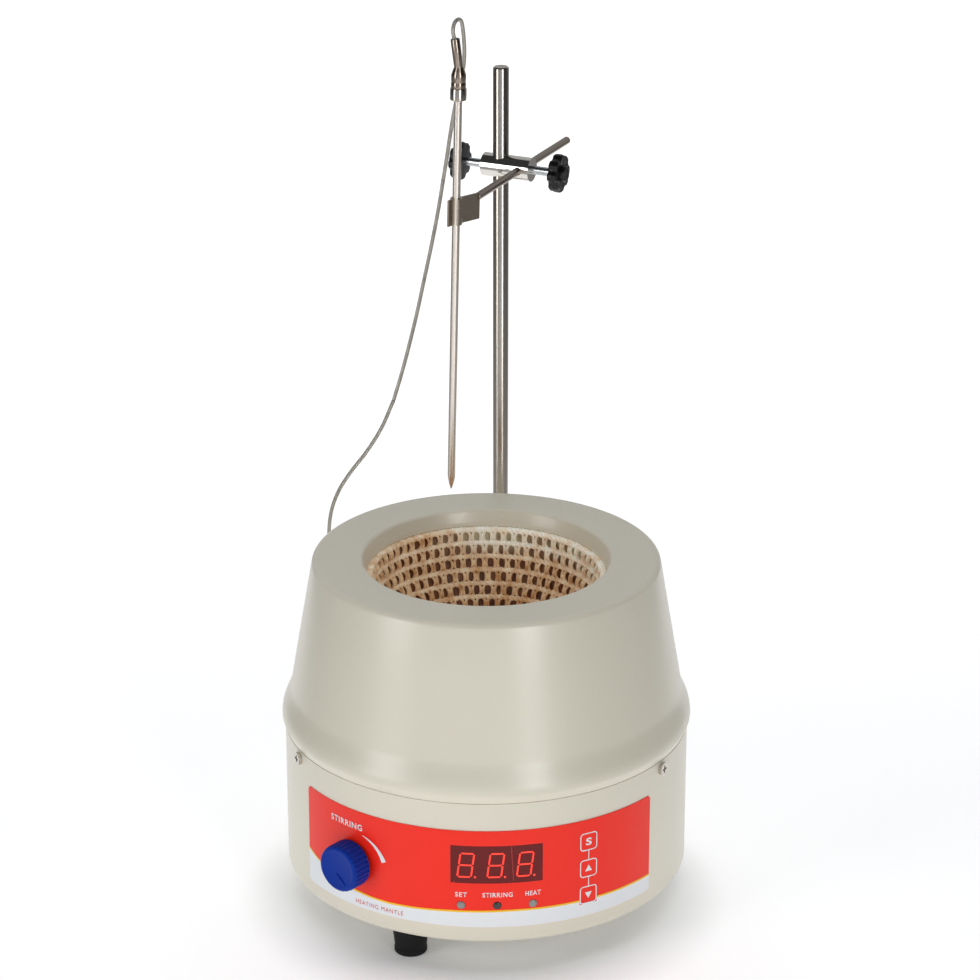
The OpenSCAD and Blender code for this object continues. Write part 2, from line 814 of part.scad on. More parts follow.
module probe_collar() {
    color(steel) at_probe() translate([0, 0, collar_z]) difference() {
        union() {
            cylinder(h = 5.6, r = 4);
            translate([0, 0, 5.6 - eps]) cylinder(h = 0.4, r1 = 4, r2 = 3.6);
        }
        translate([0, 0, -1]) cylinder(h = 2.5, r = sheath_r);
    }
}

module probe_ferrule() {
    color(dark_steel) at_probe() translate([0, 0, collar_z + 6]) {
        cylinder(h = 6.6, r = 3.6);
        translate([0, 0, 6.6 - eps]) cylinder(h = 3.6, r1 = 3.6, r2 = 2.3);
        translate([0, 0, 9.4]) rotate([0, -8, 0]) difference() {
            cylinder(h = 14.6, r = 2.25);
            translate([0, 0, 12.4]) cylinder(h = 4, r = 1.7);
        }
    }
}

// ---- lead ----

module lead_loop() {
    color(steel) tube(loop_route, lead_d);
}

module lead_upper() {
    color(steel) tube(smoothed(upper_route), lead_d);
}

module lead_lower() {
    color(steel) tube(smoothed(lower_route), lead_d);
}

module lead_rise() {
    color(steel) tube(smoothed(rise_route), lead_d);
}

module lead_tail() {
    color(steel) tube(tail_route, lead_d);
}

module lead_coil() {
    color(steel) translate([coil_x, coil_y, 0]) rotate_extrude()
        translate([coil_mid_r - coil_w / 2, 0]) square([coil_w, coil_h]);
}

module lead_plug() {
    color(steel) {
        radial_bar(probe_socket_at, rear_z, base_r + 4, base_r + 17, 6.6);
        radial_bar(probe_socket_at, rear_z, base_r - 4, base_r + 4 + eps, 4.5);
        radial_bar(probe_socket_at, rear_z, base_r + 17 - eps, base_r + 21, 3.2);
    }
}

// ---- pieces ----

base_housing();
upper_housing();
bottom_plate();
feet();
foot_screws();
housing_screws();
front_panel();
display_window();
display_module();
indicator_leds();
control_board();
board_posts();
key_switches();
potentiometer();
pot_nut();
knit_bowl();
heating_element();
insulation_bowl();
support_bowl();
bowl_posts();
stir_motor();
motor_bracket();
frame_screws();
heat_sink();
transformer();
terminal_block();
rod_socket();
power_inlet();
inlet_pins();
power_switch();
fuse_holder();
probe_socket();
lead_plug();
lead_tail();
lead_coil();
lead_rise();
stir_knob();
pot_shaft();
key(key_zs[0]);  // key_set
key(key_zs[1]);  // key_up
key(key_zs[2]);  // key_down
power_rocker();
motor_shaft();
magnet_holder();
magnets();
socket_screw();
support_rod();
boss_head();
rod_stud();
rod_star_knob();
arm_stud();
arm_star_knob();
probe_arm();
probe_clip();
probe_sheath();
probe_collar();
probe_ferrule();
lead_loop();
lead_upper();
lead_lower();
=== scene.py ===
import math
import random

import bpy
import numpy as np
from mathutils import Matrix, Vector


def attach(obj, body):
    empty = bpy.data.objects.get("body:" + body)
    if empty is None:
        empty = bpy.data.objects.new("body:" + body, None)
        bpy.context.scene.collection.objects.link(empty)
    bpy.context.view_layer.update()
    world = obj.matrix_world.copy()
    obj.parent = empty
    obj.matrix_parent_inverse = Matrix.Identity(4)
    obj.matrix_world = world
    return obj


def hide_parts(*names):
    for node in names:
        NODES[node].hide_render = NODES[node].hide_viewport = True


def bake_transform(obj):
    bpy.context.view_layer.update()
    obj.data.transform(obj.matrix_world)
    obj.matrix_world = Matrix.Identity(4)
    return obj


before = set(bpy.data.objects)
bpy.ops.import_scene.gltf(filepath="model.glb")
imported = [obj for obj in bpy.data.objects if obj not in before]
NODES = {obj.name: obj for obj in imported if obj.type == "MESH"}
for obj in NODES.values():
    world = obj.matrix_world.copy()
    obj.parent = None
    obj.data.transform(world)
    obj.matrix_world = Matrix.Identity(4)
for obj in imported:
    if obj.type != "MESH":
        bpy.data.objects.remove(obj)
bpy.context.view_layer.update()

MM = 0.001

# ---- camera ----

TARGET = Vector((1.8, 0.0, 210.0)) * MM
AZIMUTH = math.radians(3.7)
PITCH = math.radians(21.6)
DISTANCE = 1.7424
camera_data = bpy.data.cameras.new("camera")
camera_data.lens = 132.2
camera_data.sensor_width = 36.0
camera_data.clip_end = 50.0
camera = bpy.data.objects.new("camera", camera_data)
camera.location = TARGET + DISTANCE * Vector((
    math.sin(AZIMUTH) * math.cos(PITCH), -math.cos(AZIMUTH) * math.cos(PITCH), math.sin(PITCH)
))
camera.rotation_euler = (math.radians(90) - PITCH, 0.0, AZIMUTH)
bpy.context.scene.collection.objects.link(camera)
bpy.context.scene.camera = camera
bpy.context.scene.view_settings.view_transform = "Standard"


# ---- materials ----

def srgb(r, g, b):
    """A colour from 0-255 sRGB values."""
    return tuple(((v / 255 + 0.055) / 1.055) ** 2.4 if v > 10 else v / 3295 for v in (r, g, b)) + (1.0,)


def scaled(colour, k):
    return tuple(min(1.0, c * k) for c in colour[:3]) + (1.0,)


class Nodes:
    """A material's node tree, with short ways to add and join nodes."""

    def __init__(self, name):
        self.material = bpy.data.materials.new(name)
        self.material.use_nodes = True
        self.tree = self.material.node_tree
        self.shader = self.tree.nodes["Principled BSDF"]

    def add(self, kind, **values):
        node = self.tree.nodes.new(kind)
        for key, value in values.items():
            if hasattr(node, key):
                setattr(node, key, value)
            else:
                node.inputs[key.replace("_", " ")].default_value = value
        return node

    def join(self, a, b):
        self.tree.links.new(a, b)

    def coords(self, scale=(1, 1, 1), kind="Object"):
        source = self.add("ShaderNodeTexCoord")
        mapping = self.add("ShaderNodeMapping")
        mapping.inputs["Scale"].default_value = scale
        self.join(source.outputs[kind], mapping.inputs["Vector"])
        return mapping.outputs["Vector"]

    def noise(self, scale, detail=3.0, stretch=(1, 1, 1), kind="Object", roughness=0.5):
        node = self.add("ShaderNodeTexNoise")
        node.inputs["Scale"].default_value = scale
        node.inputs["Detail"].default_value = detail
        node.inputs["Roughness"].default_value = roughness
        self.join(self.coords(stretch, kind), node.inputs["Vector"])
        return node.outputs["Fac"]

    def spread(self, value, low, high, to_low, to_high):
        node = self.add("ShaderNodeMapRange")
        self.join(value, node.inputs["Value"])
        for key, v in (("From Min", low), ("From Max", high), ("To Min", to_low), ("To Max", to_high)):
            node.inputs[key].default_value = v
        return node.outputs["Result"]

    def math(self, operation, a, b=0.0):
        node = self.add("ShaderNodeMath", operation=operation)
        for socket, v in zip(node.inputs, (a, b)):
            if isinstance(v, (int, float)):
                socket.default_value = v
            else:
                self.join(v, socket)
        return node.outputs["Value"]

    def blend(self, factor, a, b):
        node = self.add("ShaderNodeMix", data_type="RGBA")
        self.join(factor, node.inputs["Factor"])
        colours = [s for s in node.inputs if s.type == "RGBA"]
        for socket, v in zip(colours, (a, b)):
            if isinstance(v, tuple):
                socket.default_value = v
            else:
                self.join(v, socket)
        return [s for s in node.outputs if s.type == "RGBA"][0]

    def bump(self, height, strength, distance):
        node = self.add("ShaderNodeBump")
        node.inputs["Strength"].default_value = strength
        node.inputs["Distance"].default_value = distance
        self.join(height, node.inputs["Height"])
        return node.outputs["Normal"]

    def set(self, **values):
        for key, v in values.items():
            socket = self.shader.inputs[key.replace("_", " ")]
            if isinstance(v, (int, float, tuple)):
                socket.default_value = v
            else:
                self.join(v, socket)


def surface(
    name, colour, rough=0.5, metal=0.0, vary=0.06, grain=900.0, bump=0.05, depth=0.00004,
    stretch=(1, 1, 1), rough_vary=0.08, coat=0.0, wear=90.0, **more
):
    """Paint, plastic, rubber or metal: a slow change of tone, a fine grain and an uneven gloss."""
    n = Nodes(name)
    slow = n.noise(wear, 4.0)
    fine = n.noise(grain, 2.0, stretch)
    tone = n.blend(slow, scaled(colour, 1 - vary), scaled(colour, 1 + vary))
    n.set(
        Base_Color=tone,
        Metallic=metal,
        Roughness=n.spread(fine, 0.3, 0.7, max(0.02, rough - rough_vary), rough + rough_vary),
        Normal=n.bump(fine, bump, depth),
    )
    if coat:
        n.set(Coat_Weight=coat, Coat_Roughness=0.08)
    n.set(**more)
    return n.material


def turned(name, colour, rough, vary=0.05, stretch=0.8):
    """Ground or turned bar: fine lines round the bar, and gloss drawn out along it."""
    n = Nodes(name)
    lines = n.noise(60.0, 3.0, (0.02, 60.0, 1.0), "UV", 0.7)
    slow = n.noise(30.0, 3.0)
    mean = n.math("MULTIPLY", n.math("ADD", lines, slow), 0.5)
    tone = n.blend(mean, scaled(colour, 1 - vary), scaled(colour, 1 + vary))
    tangent = n.add("ShaderNodeTangent", direction_type="UV_MAP")
    tangent.uv_map = "UVMap"
    n.join(tangent.outputs["Tangent"], n.shader.inputs["Tangent"])
    n.set(
        Base_Color=tone,
        Metallic=1.0,
        Roughness=n.spread(lines, 0.3, 0.7, rough - 0.04, rough + 0.06),
        Anisotropic=stretch,
        Anisotropic_Rotation=0.25,
        Normal=n.bump(lines, 0.06, 0.00002),
    )
    return n.material


CREAM = srgb(226, 221, 203)
paint = surface(
    "cream_powder_coat", CREAM, 0.30, vary=0.012, grain=2600.0, bump=0.06, depth=0.00003,
    rough_vary=0.03, wear=14.0, Specular_IOR_Level=0.85,
)
film_red = surface(
    "printed_red_film", srgb(255, 40, 18), 0.34, vary=0.02, grain=1800.0, bump=0.03, rough_vary=0.04,
    coat=0.08, wear=16.0, Specular_IOR_Level=0.3,
)
film_white = surface("printed_white", srgb(236, 240, 243), 0.35, vary=0.015, grain=1600.0, bump=0.03)
film_yellow = surface("printed_yellow", srgb(255, 200, 20), 0.35, vary=0.02, grain=1600.0, bump=0.03)
film_ink = surface("printed_label_red", srgb(216, 40, 24), 0.4, vary=0.03, grain=1600.0, bump=0.03)
window = surface(
    "smoked_red_window", srgb(96, 14, 16), 0.2, vary=0.12, grain=500.0, bump=0.02, coat=0.1, wear=60.0,
    Specular_IOR_Level=0.25, Emission_Color=srgb(150, 20, 20), Emission_Strength=0.10,
)
digit_lit = surface(
    "lit_segment", srgb(255, 60, 40), 0.4, vary=0.08, grain=700.0, bump=0.02,
    Emission_Color=srgb(255, 50, 32), Emission_Strength=0.75,
)
digit_seam = surface("module_seam", srgb(170, 36, 30), 0.4, vary=0.1, grain=700.0, bump=0.02)
lens_grey = surface(
    "clear_led_lens", srgb(140, 140, 136), 0.22, vary=0.2, grain=500.0, bump=0.03, coat=0.5, wear=300.0,
)
lens_dark = surface(
    "dark_led_lens", srgb(50, 40, 38), 0.25, vary=0.2, grain=500.0, bump=0.03, coat=0.4, wear=300.0,
)
knob_blue = surface(
    "moulded_blue_plastic", srgb(4, 50, 152), 0.36, vary=0.06, grain=1500.0, bump=0.08, rough_vary=0.06,
    wear=60.0, Specular_IOR_Level=0.12,
)
star_black = surface(
    "moulded_black_plastic", srgb(11, 11, 13), 0.34, vary=0.2, grain=1700.0, bump=0.10, rough_vary=0.07,
    wear=80.0,
)
black_case = surface(
    "black_case_plastic", srgb(30, 30, 32), 0.5, vary=0.15, grain=1900.0, bump=0.14, rough_vary=0.08,
)
rubber = surface(
    "black_rubber", srgb(17, 17, 18), 0.62, vary=0.2, grain=1300.0, bump=0.22, depth=0.00008,
    rough_vary=0.08, Specular_IOR_Level=0.25,
)
red_switch = surface(
    "red_switch_plastic", srgb(190, 22, 16), 0.3, vary=0.05, grain=1500.0, bump=0.05, coat=0.2,
)
white_block = surface("white_nylon", srgb(222, 220, 212), 0.5, vary=0.04, grain=1500.0, bump=0.08)
zinc = surface(
    "zinc_plate", srgb(196, 200, 202), 0.26, 1.0, vary=0.05, grain=900.0, bump=0.02, rough_vary=0.05,
)
bright_nickel = surface(
    "bright_nickel", srgb(206, 200, 192), 0.16, 1.0, vary=0.05, grain=700.0, bump=0.03, rough_vary=0.05,
)
sheet_steel = surface(
    "rolled_steel_sheet", srgb(168, 156, 142), 0.32, 1.0, vary=0.12, grain=500.0, bump=0.10,
    stretch=(1, 1, 9), rough_vary=0.08,
)
aluminium = surface(
    "milled_aluminium", srgb(190, 190, 192), 0.34, 1.0, vary=0.05, grain=420.0, bump=0.10,
    stretch=(1, 7, 1), rough_vary=0.08,
)
spun = surface(
    "spun_aluminium", srgb(186, 186, 186), 0.38, 1.0, vary=0.05, grain=300.0, bump=0.12,
    stretch=(1, 1, 12),
)
chrome = surface(
    "polished_chrome", srgb(226, 222, 216), 0.06, 1.0, vary=0.04, grain=500.0, bump=0.015,
    rough_vary=0.03,
)
oxide_steel = surface("black_oxide_steel", srgb(70, 66, 62), 0.42, 1.0, vary=0.2, grain=900.0, bump=0.14)
motor_case = surface(
    "plated_motor_case", srgb(150, 150, 152), 0.35, 1.0, vary=0.08, grain=500.0, bump=0.1,
    stretch=(1, 1, 10),
)
wire_mat = surface(
    "oxidised_resistance_wire", srgb(98, 86, 78), 0.5, 1.0, vary=0.25, grain=900.0, bump=0.15,
)
brass = surface("brass", srgb(196, 160, 84), 0.3, 1.0, vary=0.08, grain=900.0, bump=0.06)
board = surface(
    "green_circuit_board", srgb(24, 88, 48), 0.35, vary=0.25, grain=420.0, bump=0.2, depth=0.00006,
    rough_vary=0.12, wear=240.0, coat=0.3,
)
copper_block = surface(
    "varnished_laminations", srgb(104, 66, 46), 0.42, vary=0.3, grain=700.0, bump=0.3, depth=0.0001,
    stretch=(1, 1, 10),
)
felt = surface(
    "felted_glass_fibre", srgb(232, 226, 208), 0.95, vary=0.08, grain=700.0, bump=0.6, depth=0.0006,
    rough_vary=0.04,
)
rod_steel = turned("ground_rod_steel", srgb(196, 188, 179), 0.2)
arm_steel = turned("ground_arm_steel", srgb(160, 148, 136), 0.24)
sheath_steel = turned("drawn_sheath_steel", srgb(244, 234, 224), 0.2)
ferrule_steel = turned("crimped_ferrule_steel", srgb(164, 150, 138), 0.2)


BRAID_PITCH = 0.0013
BRAID_STRANDS = 4


def braid_material():
    """Fine metal braid: two sets of strands crossing round the lead, its colour darkened into the gaps
    between strands as painted shade.
    """
    n = Nodes("steel_braid")
    split = n.add("ShaderNodeSeparateXYZ")
    n.join(n.coords(kind="UV"), split.inputs[0])
    along = n.math("MULTIPLY", split.outputs["X"], 2 * math.pi / BRAID_PITCH)
    around = n.math("MULTIPLY", split.outputs["Y"], 2 * math.pi * BRAID_STRANDS)
    one = n.math("SINE", n.math("ADD", along, around))
    two = n.math("SINE", n.math("SUBTRACT", along, around))
    weave = n.math("MAXIMUM", one, two)
    shade = n.spread(weave, -0.2, 1.0, 0.0, 1.0)
    mottled = n.math("MULTIPLY", n.math("ADD", shade, n.noise(500.0, 2.0)), 0.5)
    painted_gap_shade = n.spread(mottled, 0.3, 0.7, 0.0, 1.0)
    n.set(
        # Painted shade: the colour runs dark into the gaps between strands.
        Base_Color=n.blend(painted_gap_shade, srgb(58, 53, 46), srgb(236, 231, 220)),
        Metallic=0.6,
        Roughness=n.spread(weave, -1.0, 1.0, 0.55, 0.36),
        Normal=n.bump(weave, 0.6, 0.00015),
    )
    return n.material


braid = braid_material()


def yarn(name, dark, light, pale, fibre, painted_glow=0.0):
    """Glass yarn: tan where heat has browned it, pale at the rear right of the rim, with a faint glow in its
    own colours that is painted light.
    """
    n = Nodes(name)
    split = n.add("ShaderNodeSeparateXYZ")
    n.join(n.coords(), split.inputs[0])
    x, y, z = split.outputs
    high = n.spread(z, 0.1500, 0.1600, 0.0, 1.0)
    to_rear_right = n.math("ADD", n.math("MULTIPLY", x, 0.8), n.math("MULTIPLY", y, 0.6))
    rear_right = n.spread(to_rear_right, 0.0, 0.028, 0.0, 1.0)
    ragged = n.spread(n.noise(120.0, 3.0), 0.42, 0.60, 0.35, 1.0)
    clean = n.math("MULTIPLY", n.math("MULTIPLY", high, rear_right), ragged)
    patchy = n.spread(n.noise(210.0, 4.0), 0.34, 0.66, 0.0, 1.0)
    hairs = n.noise(2400.0, 3.0)
    browned = n.blend(patchy, dark, light)
    n.set(
        Base_Color=n.blend(clean, browned, pale),
        # Painted light: the yarn glows faintly in its own colours to lighten it.
        Emission_Color=n.blend(clean, browned, pale),
        Emission_Strength=painted_glow,
        Roughness=0.45,
        Specular_IOR_Level=0.7,
        Sheen_Weight=0.35,
        Sheen_Roughness=0.4,
        Normal=n.bump(hairs, fibre, 0.0002),
    )
    return n.material


yarn_tan = yarn(
    "browned_glass_yarn", srgb(198, 146, 94), srgb(248, 222, 182), srgb(252, 250, 234), 0.8, 0.09,
)
# Painted highlight: a lighter, more glowing copy of the yarn for the ridges, standing for the light they
# catch.
yarn_ridge_highlight = yarn(
    "ridge_highlight_glass_yarn", srgb(222, 180, 130), srgb(255, 240, 214), srgb(254, 252, 240), 0.8, 0.11,
)
# Painted shade: a dark copy of the yarn for the backing, standing for the shade in the holes between
# stitches.
yarn_painted_shade = yarn("shaded_glass_yarn", srgb(92, 54, 28), srgb(146, 96, 58), srgb(206, 196, 168), 0.7)


# ---- mesh helpers, in millimetres ----

def add_piece(name, verts, faces, mat, body, uvs=None, place=None, sharp=None):
    """A new piece from vertices in millimetres, riding on a CAD body."""
    mesh = bpy.data.meshes.new(name)
    matrix = place or Matrix.Identity(4)
    mesh.from_pydata([matrix @ Vector(v) * MM for v in verts], [], faces)
    mesh.polygons.foreach_set("use_smooth", [True] * len(mesh.polygons))
    if uvs is not None:
        layer = mesh.uv_layers.new(name="UVMap")
        corner = np.zeros(len(mesh.loops), dtype=np.int32)
        mesh.loops.foreach_get("vertex_index", corner)
        layer.data.foreach_set("uv", np.asarray(uvs, dtype=np.float32)[corner].ravel())
    mesh.materials.append(mat)
    if sharp is not None:
        mesh.set_sharp_from_angle(angle=math.radians(sharp))
    mesh.validate()
    mesh.update()
    obj = bpy.data.objects.new(name, mesh)
    bpy.context.scene.collection.objects.link(obj)
    if body:
        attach(obj, body)
    return obj


def turn(axis, degrees):
    return Matrix.Rotation(math.radians(degrees), 4, axis)


def shift(x, y, z):
    return Matrix.Translation((x, y, z))


def rings_to_faces(count, sides, closed_ends=True):
    faces = [
        (i * sides + k, i * sides + (k + 1) % sides, (i + 1) * sides + (k + 1) % sides, (i + 1) * sides + k)
        for i in range(count - 1) for k in range(sides)
    ]
    if closed_ends:
        faces.append(tuple(range(sides - 1, -1, -1)))
        faces.append(tuple((count - 1) * sides + k for k in range(sides)))
    return faces


def smooth_route(points, step):
    """Points along a smooth curve through the route, about one step apart."""
    p = [Vector(v) for v in points]
    p = [p[0] * 2 - p[1]] + p + [p[-1] * 2 - p[-2]]
    out = []
    for i in range(1, len(p) - 2):
        a, b, c, d = p[i - 1], p[i], p[i + 1], p[i + 2]
        n = max(1, round((c - b).length / step))
        for k in range(n):
            t = k / n
            out.append(0.5 * (
                2 * b + (c - a) * t + (2 * a - 5 * b + 4 * c - d) * t * t
                + (3 * b - a - 3 * c + d) * t * t * t
            ))
    out.append(p[-2])
    return out


def sweep(points, radius, sides):
    """Vertices, faces and (length, turn) coordinates of a tube, its rings carried along without twist."""
    verts, uvs = [], []
    side = None
    run = 0.0
    for i, p in enumerate(points):
        t = (points[min(i + 1, len(points) - 1)] - points[max(i - 1, 0)]).normalized()
        if side is None:
            side = t.cross(Vector((1.0, 0.0, 0.0))).normalized()
        side = (side - t * side.dot(t)).normalized()
        up = t.cross(side)
        if i:
            run += (p - points[i - 1]).length
        r = radius[i] if isinstance(radius, list) else radius
        for k in range(sides):
            a = 2 * math.pi * k / sides
            verts.append(p + r * (side * math.cos(a) + up * math.sin(a)))
            uvs.append((run * MM, k / sides))
    return verts, rings_to_faces(len(points), sides), uvs


# ---- the probe's lead, in four stretches, with the spare length coiled behind the body ----

LEAD_D = 2.0
ROUTE_STEP = 2.0
LOOP_STEP = 1.2
LOOP_ROUTE = [
    (-17.7, 48, 419.1), (-18.5, 48, 422.2), (-19, 48.3, 425), (-18.4, 49.5, 428.2), (-17, 52.3, 429.5),
    (-15.6, 55.2, 428.2), (-15, 56.4, 425), (-14.5, 57, 420), (-14.2, 57.4, 413), (-14.7, 58, 405),
    (-16.6, 58.9, 396), (-18.9, 60.2, 385), (-21.2, 62.3, 372), (-23.4, 65.5, 358), (-25.5, 69.3, 345.4),
]
UPPER_ROUTE = [(-25.6, 69.5, 345), (-27.6, 73.5, 333), (-30, 77, 320), (-33, 80, 305), (-36.1, 82.9, 290.4)]
LOWER_ROUTE = [(-36.2, 83, 290), (-39.8, 86, 273), (-44, 89, 255), (-48.6, 92, 237), (-53.3, 94.9, 220.6)]
RISE_ROUTE = [
    (-53.5, 95, 220), (-60, 98, 204), (-68, 100, 190), (-76.5, 101.5, 178), (-83.5, 102.5, 166),
    (-87.6, 103, 153), (-88.6, 104, 138), (-86.5, 105.5, 118), (-82, 108, 96), (-76.5, 112, 72),
    (-73, 117, 48), (-71.3, 122, 24), (-71, 127.5, 9.5), (-71, 132, 4), (-71, 137, 2.6),
]
TAIL_ROUTE = [
    (-51, 109.3, 50), (-53.6, 114.8, 49.5), (-56.2, 120, 45.5), (-57.4, 123.2, 38), (-57, 124.5, 28),
    (-55, 125.5, 17), (-52.2, 127.5, 8), (-50, 131, 3), (-49.3, 134.6, 2.2),
]
COIL = Vector((-58.0, 147.0, 0.0))
COIL_START = -11.0
COIL_END = 180.0 + 360.0 * 5
COIL_RADII = (13.0, 11.0, 9.0, 9.0, 11.0, 13.0)
COIL_LAYER = 3
COIL_STEP = 8.0
COIL_EASE = 0.2
COIL_CLEARANCE = 0.02


def coil_points():
    """Five and a half turns, three on the bench and the rest on top, each easing into the next."""
    points = []
    degrees = COIL_START
    last = len(COIL_RADII) - 1
    while degrees <= COIL_END:
        done = (degrees - COIL_START) / 360
        index = min(int(done), last)
        ease = min(1.0, max(0.0, (done - index - (1 - COIL_EASE)) / COIL_EASE))
        ease = ease * ease * (3 - 2 * ease)
        after = min(index + 1, last)
        radius = COIL_RADII[index] + (COIL_RADII[after] - COIL_RADII[index]) * ease
        height = LEAD_D * (0.5 if index < COIL_LAYER else 1.5) + COIL_CLEARANCE
        if index == COIL_LAYER - 1:
            height += LEAD_D * ease
        a = math.radians(degrees)
        points.append(COIL + Vector((radius * math.cos(a), radius * math.sin(a), height)))
        degrees += COIL_STEP
    return points


def lead_piece(name, points, node_names):
    verts, faces, uvs = sweep(points, LEAD_D / 2, 12)
    piece = add_piece(name, verts, faces, braid, None, uvs=uvs)
    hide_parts(*node_names)
    return piece


stored = smooth_route(TAIL_ROUTE, ROUTE_STEP)[:-1] + coil_points()
stored = smooth_route([tuple(p) for p in stored[:-1]] + list(reversed(RISE_ROUTE[:-1])), ROUTE_STEP)
lead_store = lead_piece("lead_store", stored, ["lead_tail", "lead_coil", "lead_rise"])
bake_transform(lead_store)
for name, route, node, low, high in (
    ("lead_lower_run", LOWER_ROUTE, "lead_lower", "rod", "clamp"),
    ("lead_upper_run", UPPER_ROUTE, "lead_upper", "clamp", "arm"),
    ("lead_loop_run", LOOP_ROUTE, "lead_loop", "arm", "probe"),
):
    points = smooth_route(route, LOOP_STEP if node == "lead_loop" else ROUTE_STEP)
    run = lead_piece(name, points, [node])
    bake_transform(run)


# ---- lathe, lobed and curved-panel shapes ----

UV_ROUND = 0.05


def lathe(name, profile, mat, body, place, sides=72, sharp=35, node=None, hollow=False):
    """A turned piece: profile is (radius, height), closed by its ends, or into a ring if it is hollow."""
    profile = profile + profile[:1] if hollow else profile
    verts, uvs = [], []
    run = 0.0
    for i, (r, z) in enumerate(profile):
        if i:
            run += math.dist(profile[i], profile[i - 1])
        for k in range(sides):
            a = 2 * math.pi * k / sides
            verts.append((r * math.cos(a), r * math.sin(a), z))
            uvs.append((k / sides * UV_ROUND, run * MM))
    piece = add_piece(
        name, verts, rings_to_faces(len(profile), sides, not hollow), mat, body,
        uvs=uvs, place=place, sharp=sharp,
    )
    if node:
        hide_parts(node)
    return piece


def lobed(name, radius, layers, mat, body, place, sides=240, sharp=40):
    """A moulded knob: layers are (inset, height, depth of the flutes from 0 to 1)."""
    verts = []
    for inset, z, depth in layers:
        for k in range(sides):
            a = 2 * math.pi * k / sides
            r = radius(a, depth) - inset
            verts.append((r * math.cos(a), r * math.sin(a), z))
    faces = rings_to_faces(len(layers), sides)
    return add_piece(name, verts, faces, mat, body, place=place, sharp=sharp)


FILM_R = 99.9


def on_wall(x, z, lift, at=0.0):
    """A point on the curved panel: x millimetres along the wall from direction at, z height."""
    a = math.radians(at) + x / FILM_R
    return ((FILM_R + lift) * math.sin(a), -(FILM_R + lift) * math.cos(a), z)


def wall_piece(name, shapes, mat, body="base", lift=0.07, at=0.0):
    """Flat printing on the wall. shapes are (points, faces) in wall millimetres."""
    verts, faces = [], []
    for points, polys in shapes:
        base = len(verts)
        verts += [on_wall(x, z, lift, at) for x, z in points]
        faces += [tuple(base + i for i in f) for f in polys]
    return add_piece(name, verts, faces, mat, body)


def stroke(path, width, closed=False, step=1.2):
    """A band along a path. width is one number, or one for each point."""
    p = [Vector(v) for v in path]
    w = list(width) if isinstance(width, (list, tuple)) else [width] * len(p)
    if closed:
        p.append(p[0])
        w.append(w[0])
    dense, wide = [], []
    for i in range(len(p) - 1):
        n = max(1, round((p[i + 1] - p[i]).length / step))
        for k in range(n):
            dense.append(p[i].lerp(p[i + 1], k / n))
            wide.append(w[i] + (w[i + 1] - w[i]) * k / n)
    dense.append(p[-1])
    wide.append(w[-1])
    count = len(dense)
    points, faces = [], []
    for i, v in enumerate(dense):
        before = dense[i - 1] if i else (dense[-2] if closed else v)
        after = dense[i + 1] if i + 1 < count else (dense[1] if closed else v)
        t = (after - before).normalized()
        n = Vector((-t.y, t.x)) * wide[i] / 2
        points += [tuple(v + n), tuple(v - n)]
        if i:
            faces.append((2 * i - 2, 2 * i - 1, 2 * i + 1, 2 * i))
    return points, faces


def rounded_box(cx, cz, half, corner):
    out = []
    reach = half - corner
    for quarter, (mx, mz) in enumerate(((1, 1), (-1, 1), (-1, -1), (1, -1))):
        for k in range(5):
            a = math.radians(90 * quarter + 22.5 * k)
            out.append((cx + mx * reach + corner * math.cos(a), cz + mz * reach + corner * math.sin(a)))
    return out


def lettering(words, height, cx, cz, width=None, bold=0.018):
    """Words as flat shapes, centred, with capitals of the given height."""
    font = bpy.data.curves.new("words", "FONT")
    font.body = words
    font.align_x = "CENTER"
    font.offset = bold
    font.space_character = 1.16
    font.resolution_u = 4
    obj = bpy.data.objects.new("words", font)
    bpy.context.scene.collection.objects.link(obj)
    bpy.context.view_layer.update()
    mesh = bpy.data.meshes.new_from_object(obj.evaluated_get(bpy.context.evaluated_depsgraph_get()))
    co = np.array([v.co[:] for v in mesh.vertices])
    low, high = co.min(axis=0), co.max(axis=0)
    k = height / (high[1] - low[1])
    kx = width / (high[0] - low[0]) if width else k
    points = [
        (cx + (x - (low[0] + high[0]) / 2) * kx, cz - height / 2 + (y - low[1]) * k)
        for x, y, _ in co
    ]
    faces = [tuple(p.vertices) for p in mesh.polygons]
    bpy.data.objects.remove(obj)
    bpy.data.curves.remove(font)
    bpy.data.meshes.remove(mesh)
    return points, faces


def degrees_to_wall(theta):
    return math.radians(theta) * FILM_R


# ---- control panel printing ----

FILM_HALF = degrees_to_wall(56)
FILM_LOW = 25.0
FILM_CORNER = 1.4


def white_edge(x):
    """Height of the top of the white strip at a place along the wall."""
    theta = math.degrees(x / FILM_R)
    return float(np.interp(
        theta,
        [-56, -52, -48, -44, -40, -36, -30, -24, -16, -6, 10, 56],
        [42.2, 39.7, 37.6, 35.6, 34.0, 32.8, 31.8, 31.5, 31.9, 32.7, 33.2, 32.7],
    ))


def film_floor(x):
    """Lowest height of the film, above its cut corners."""
    return FILM_LOW + max(0.0, FILM_CORNER - (FILM_HALF - abs(x)))


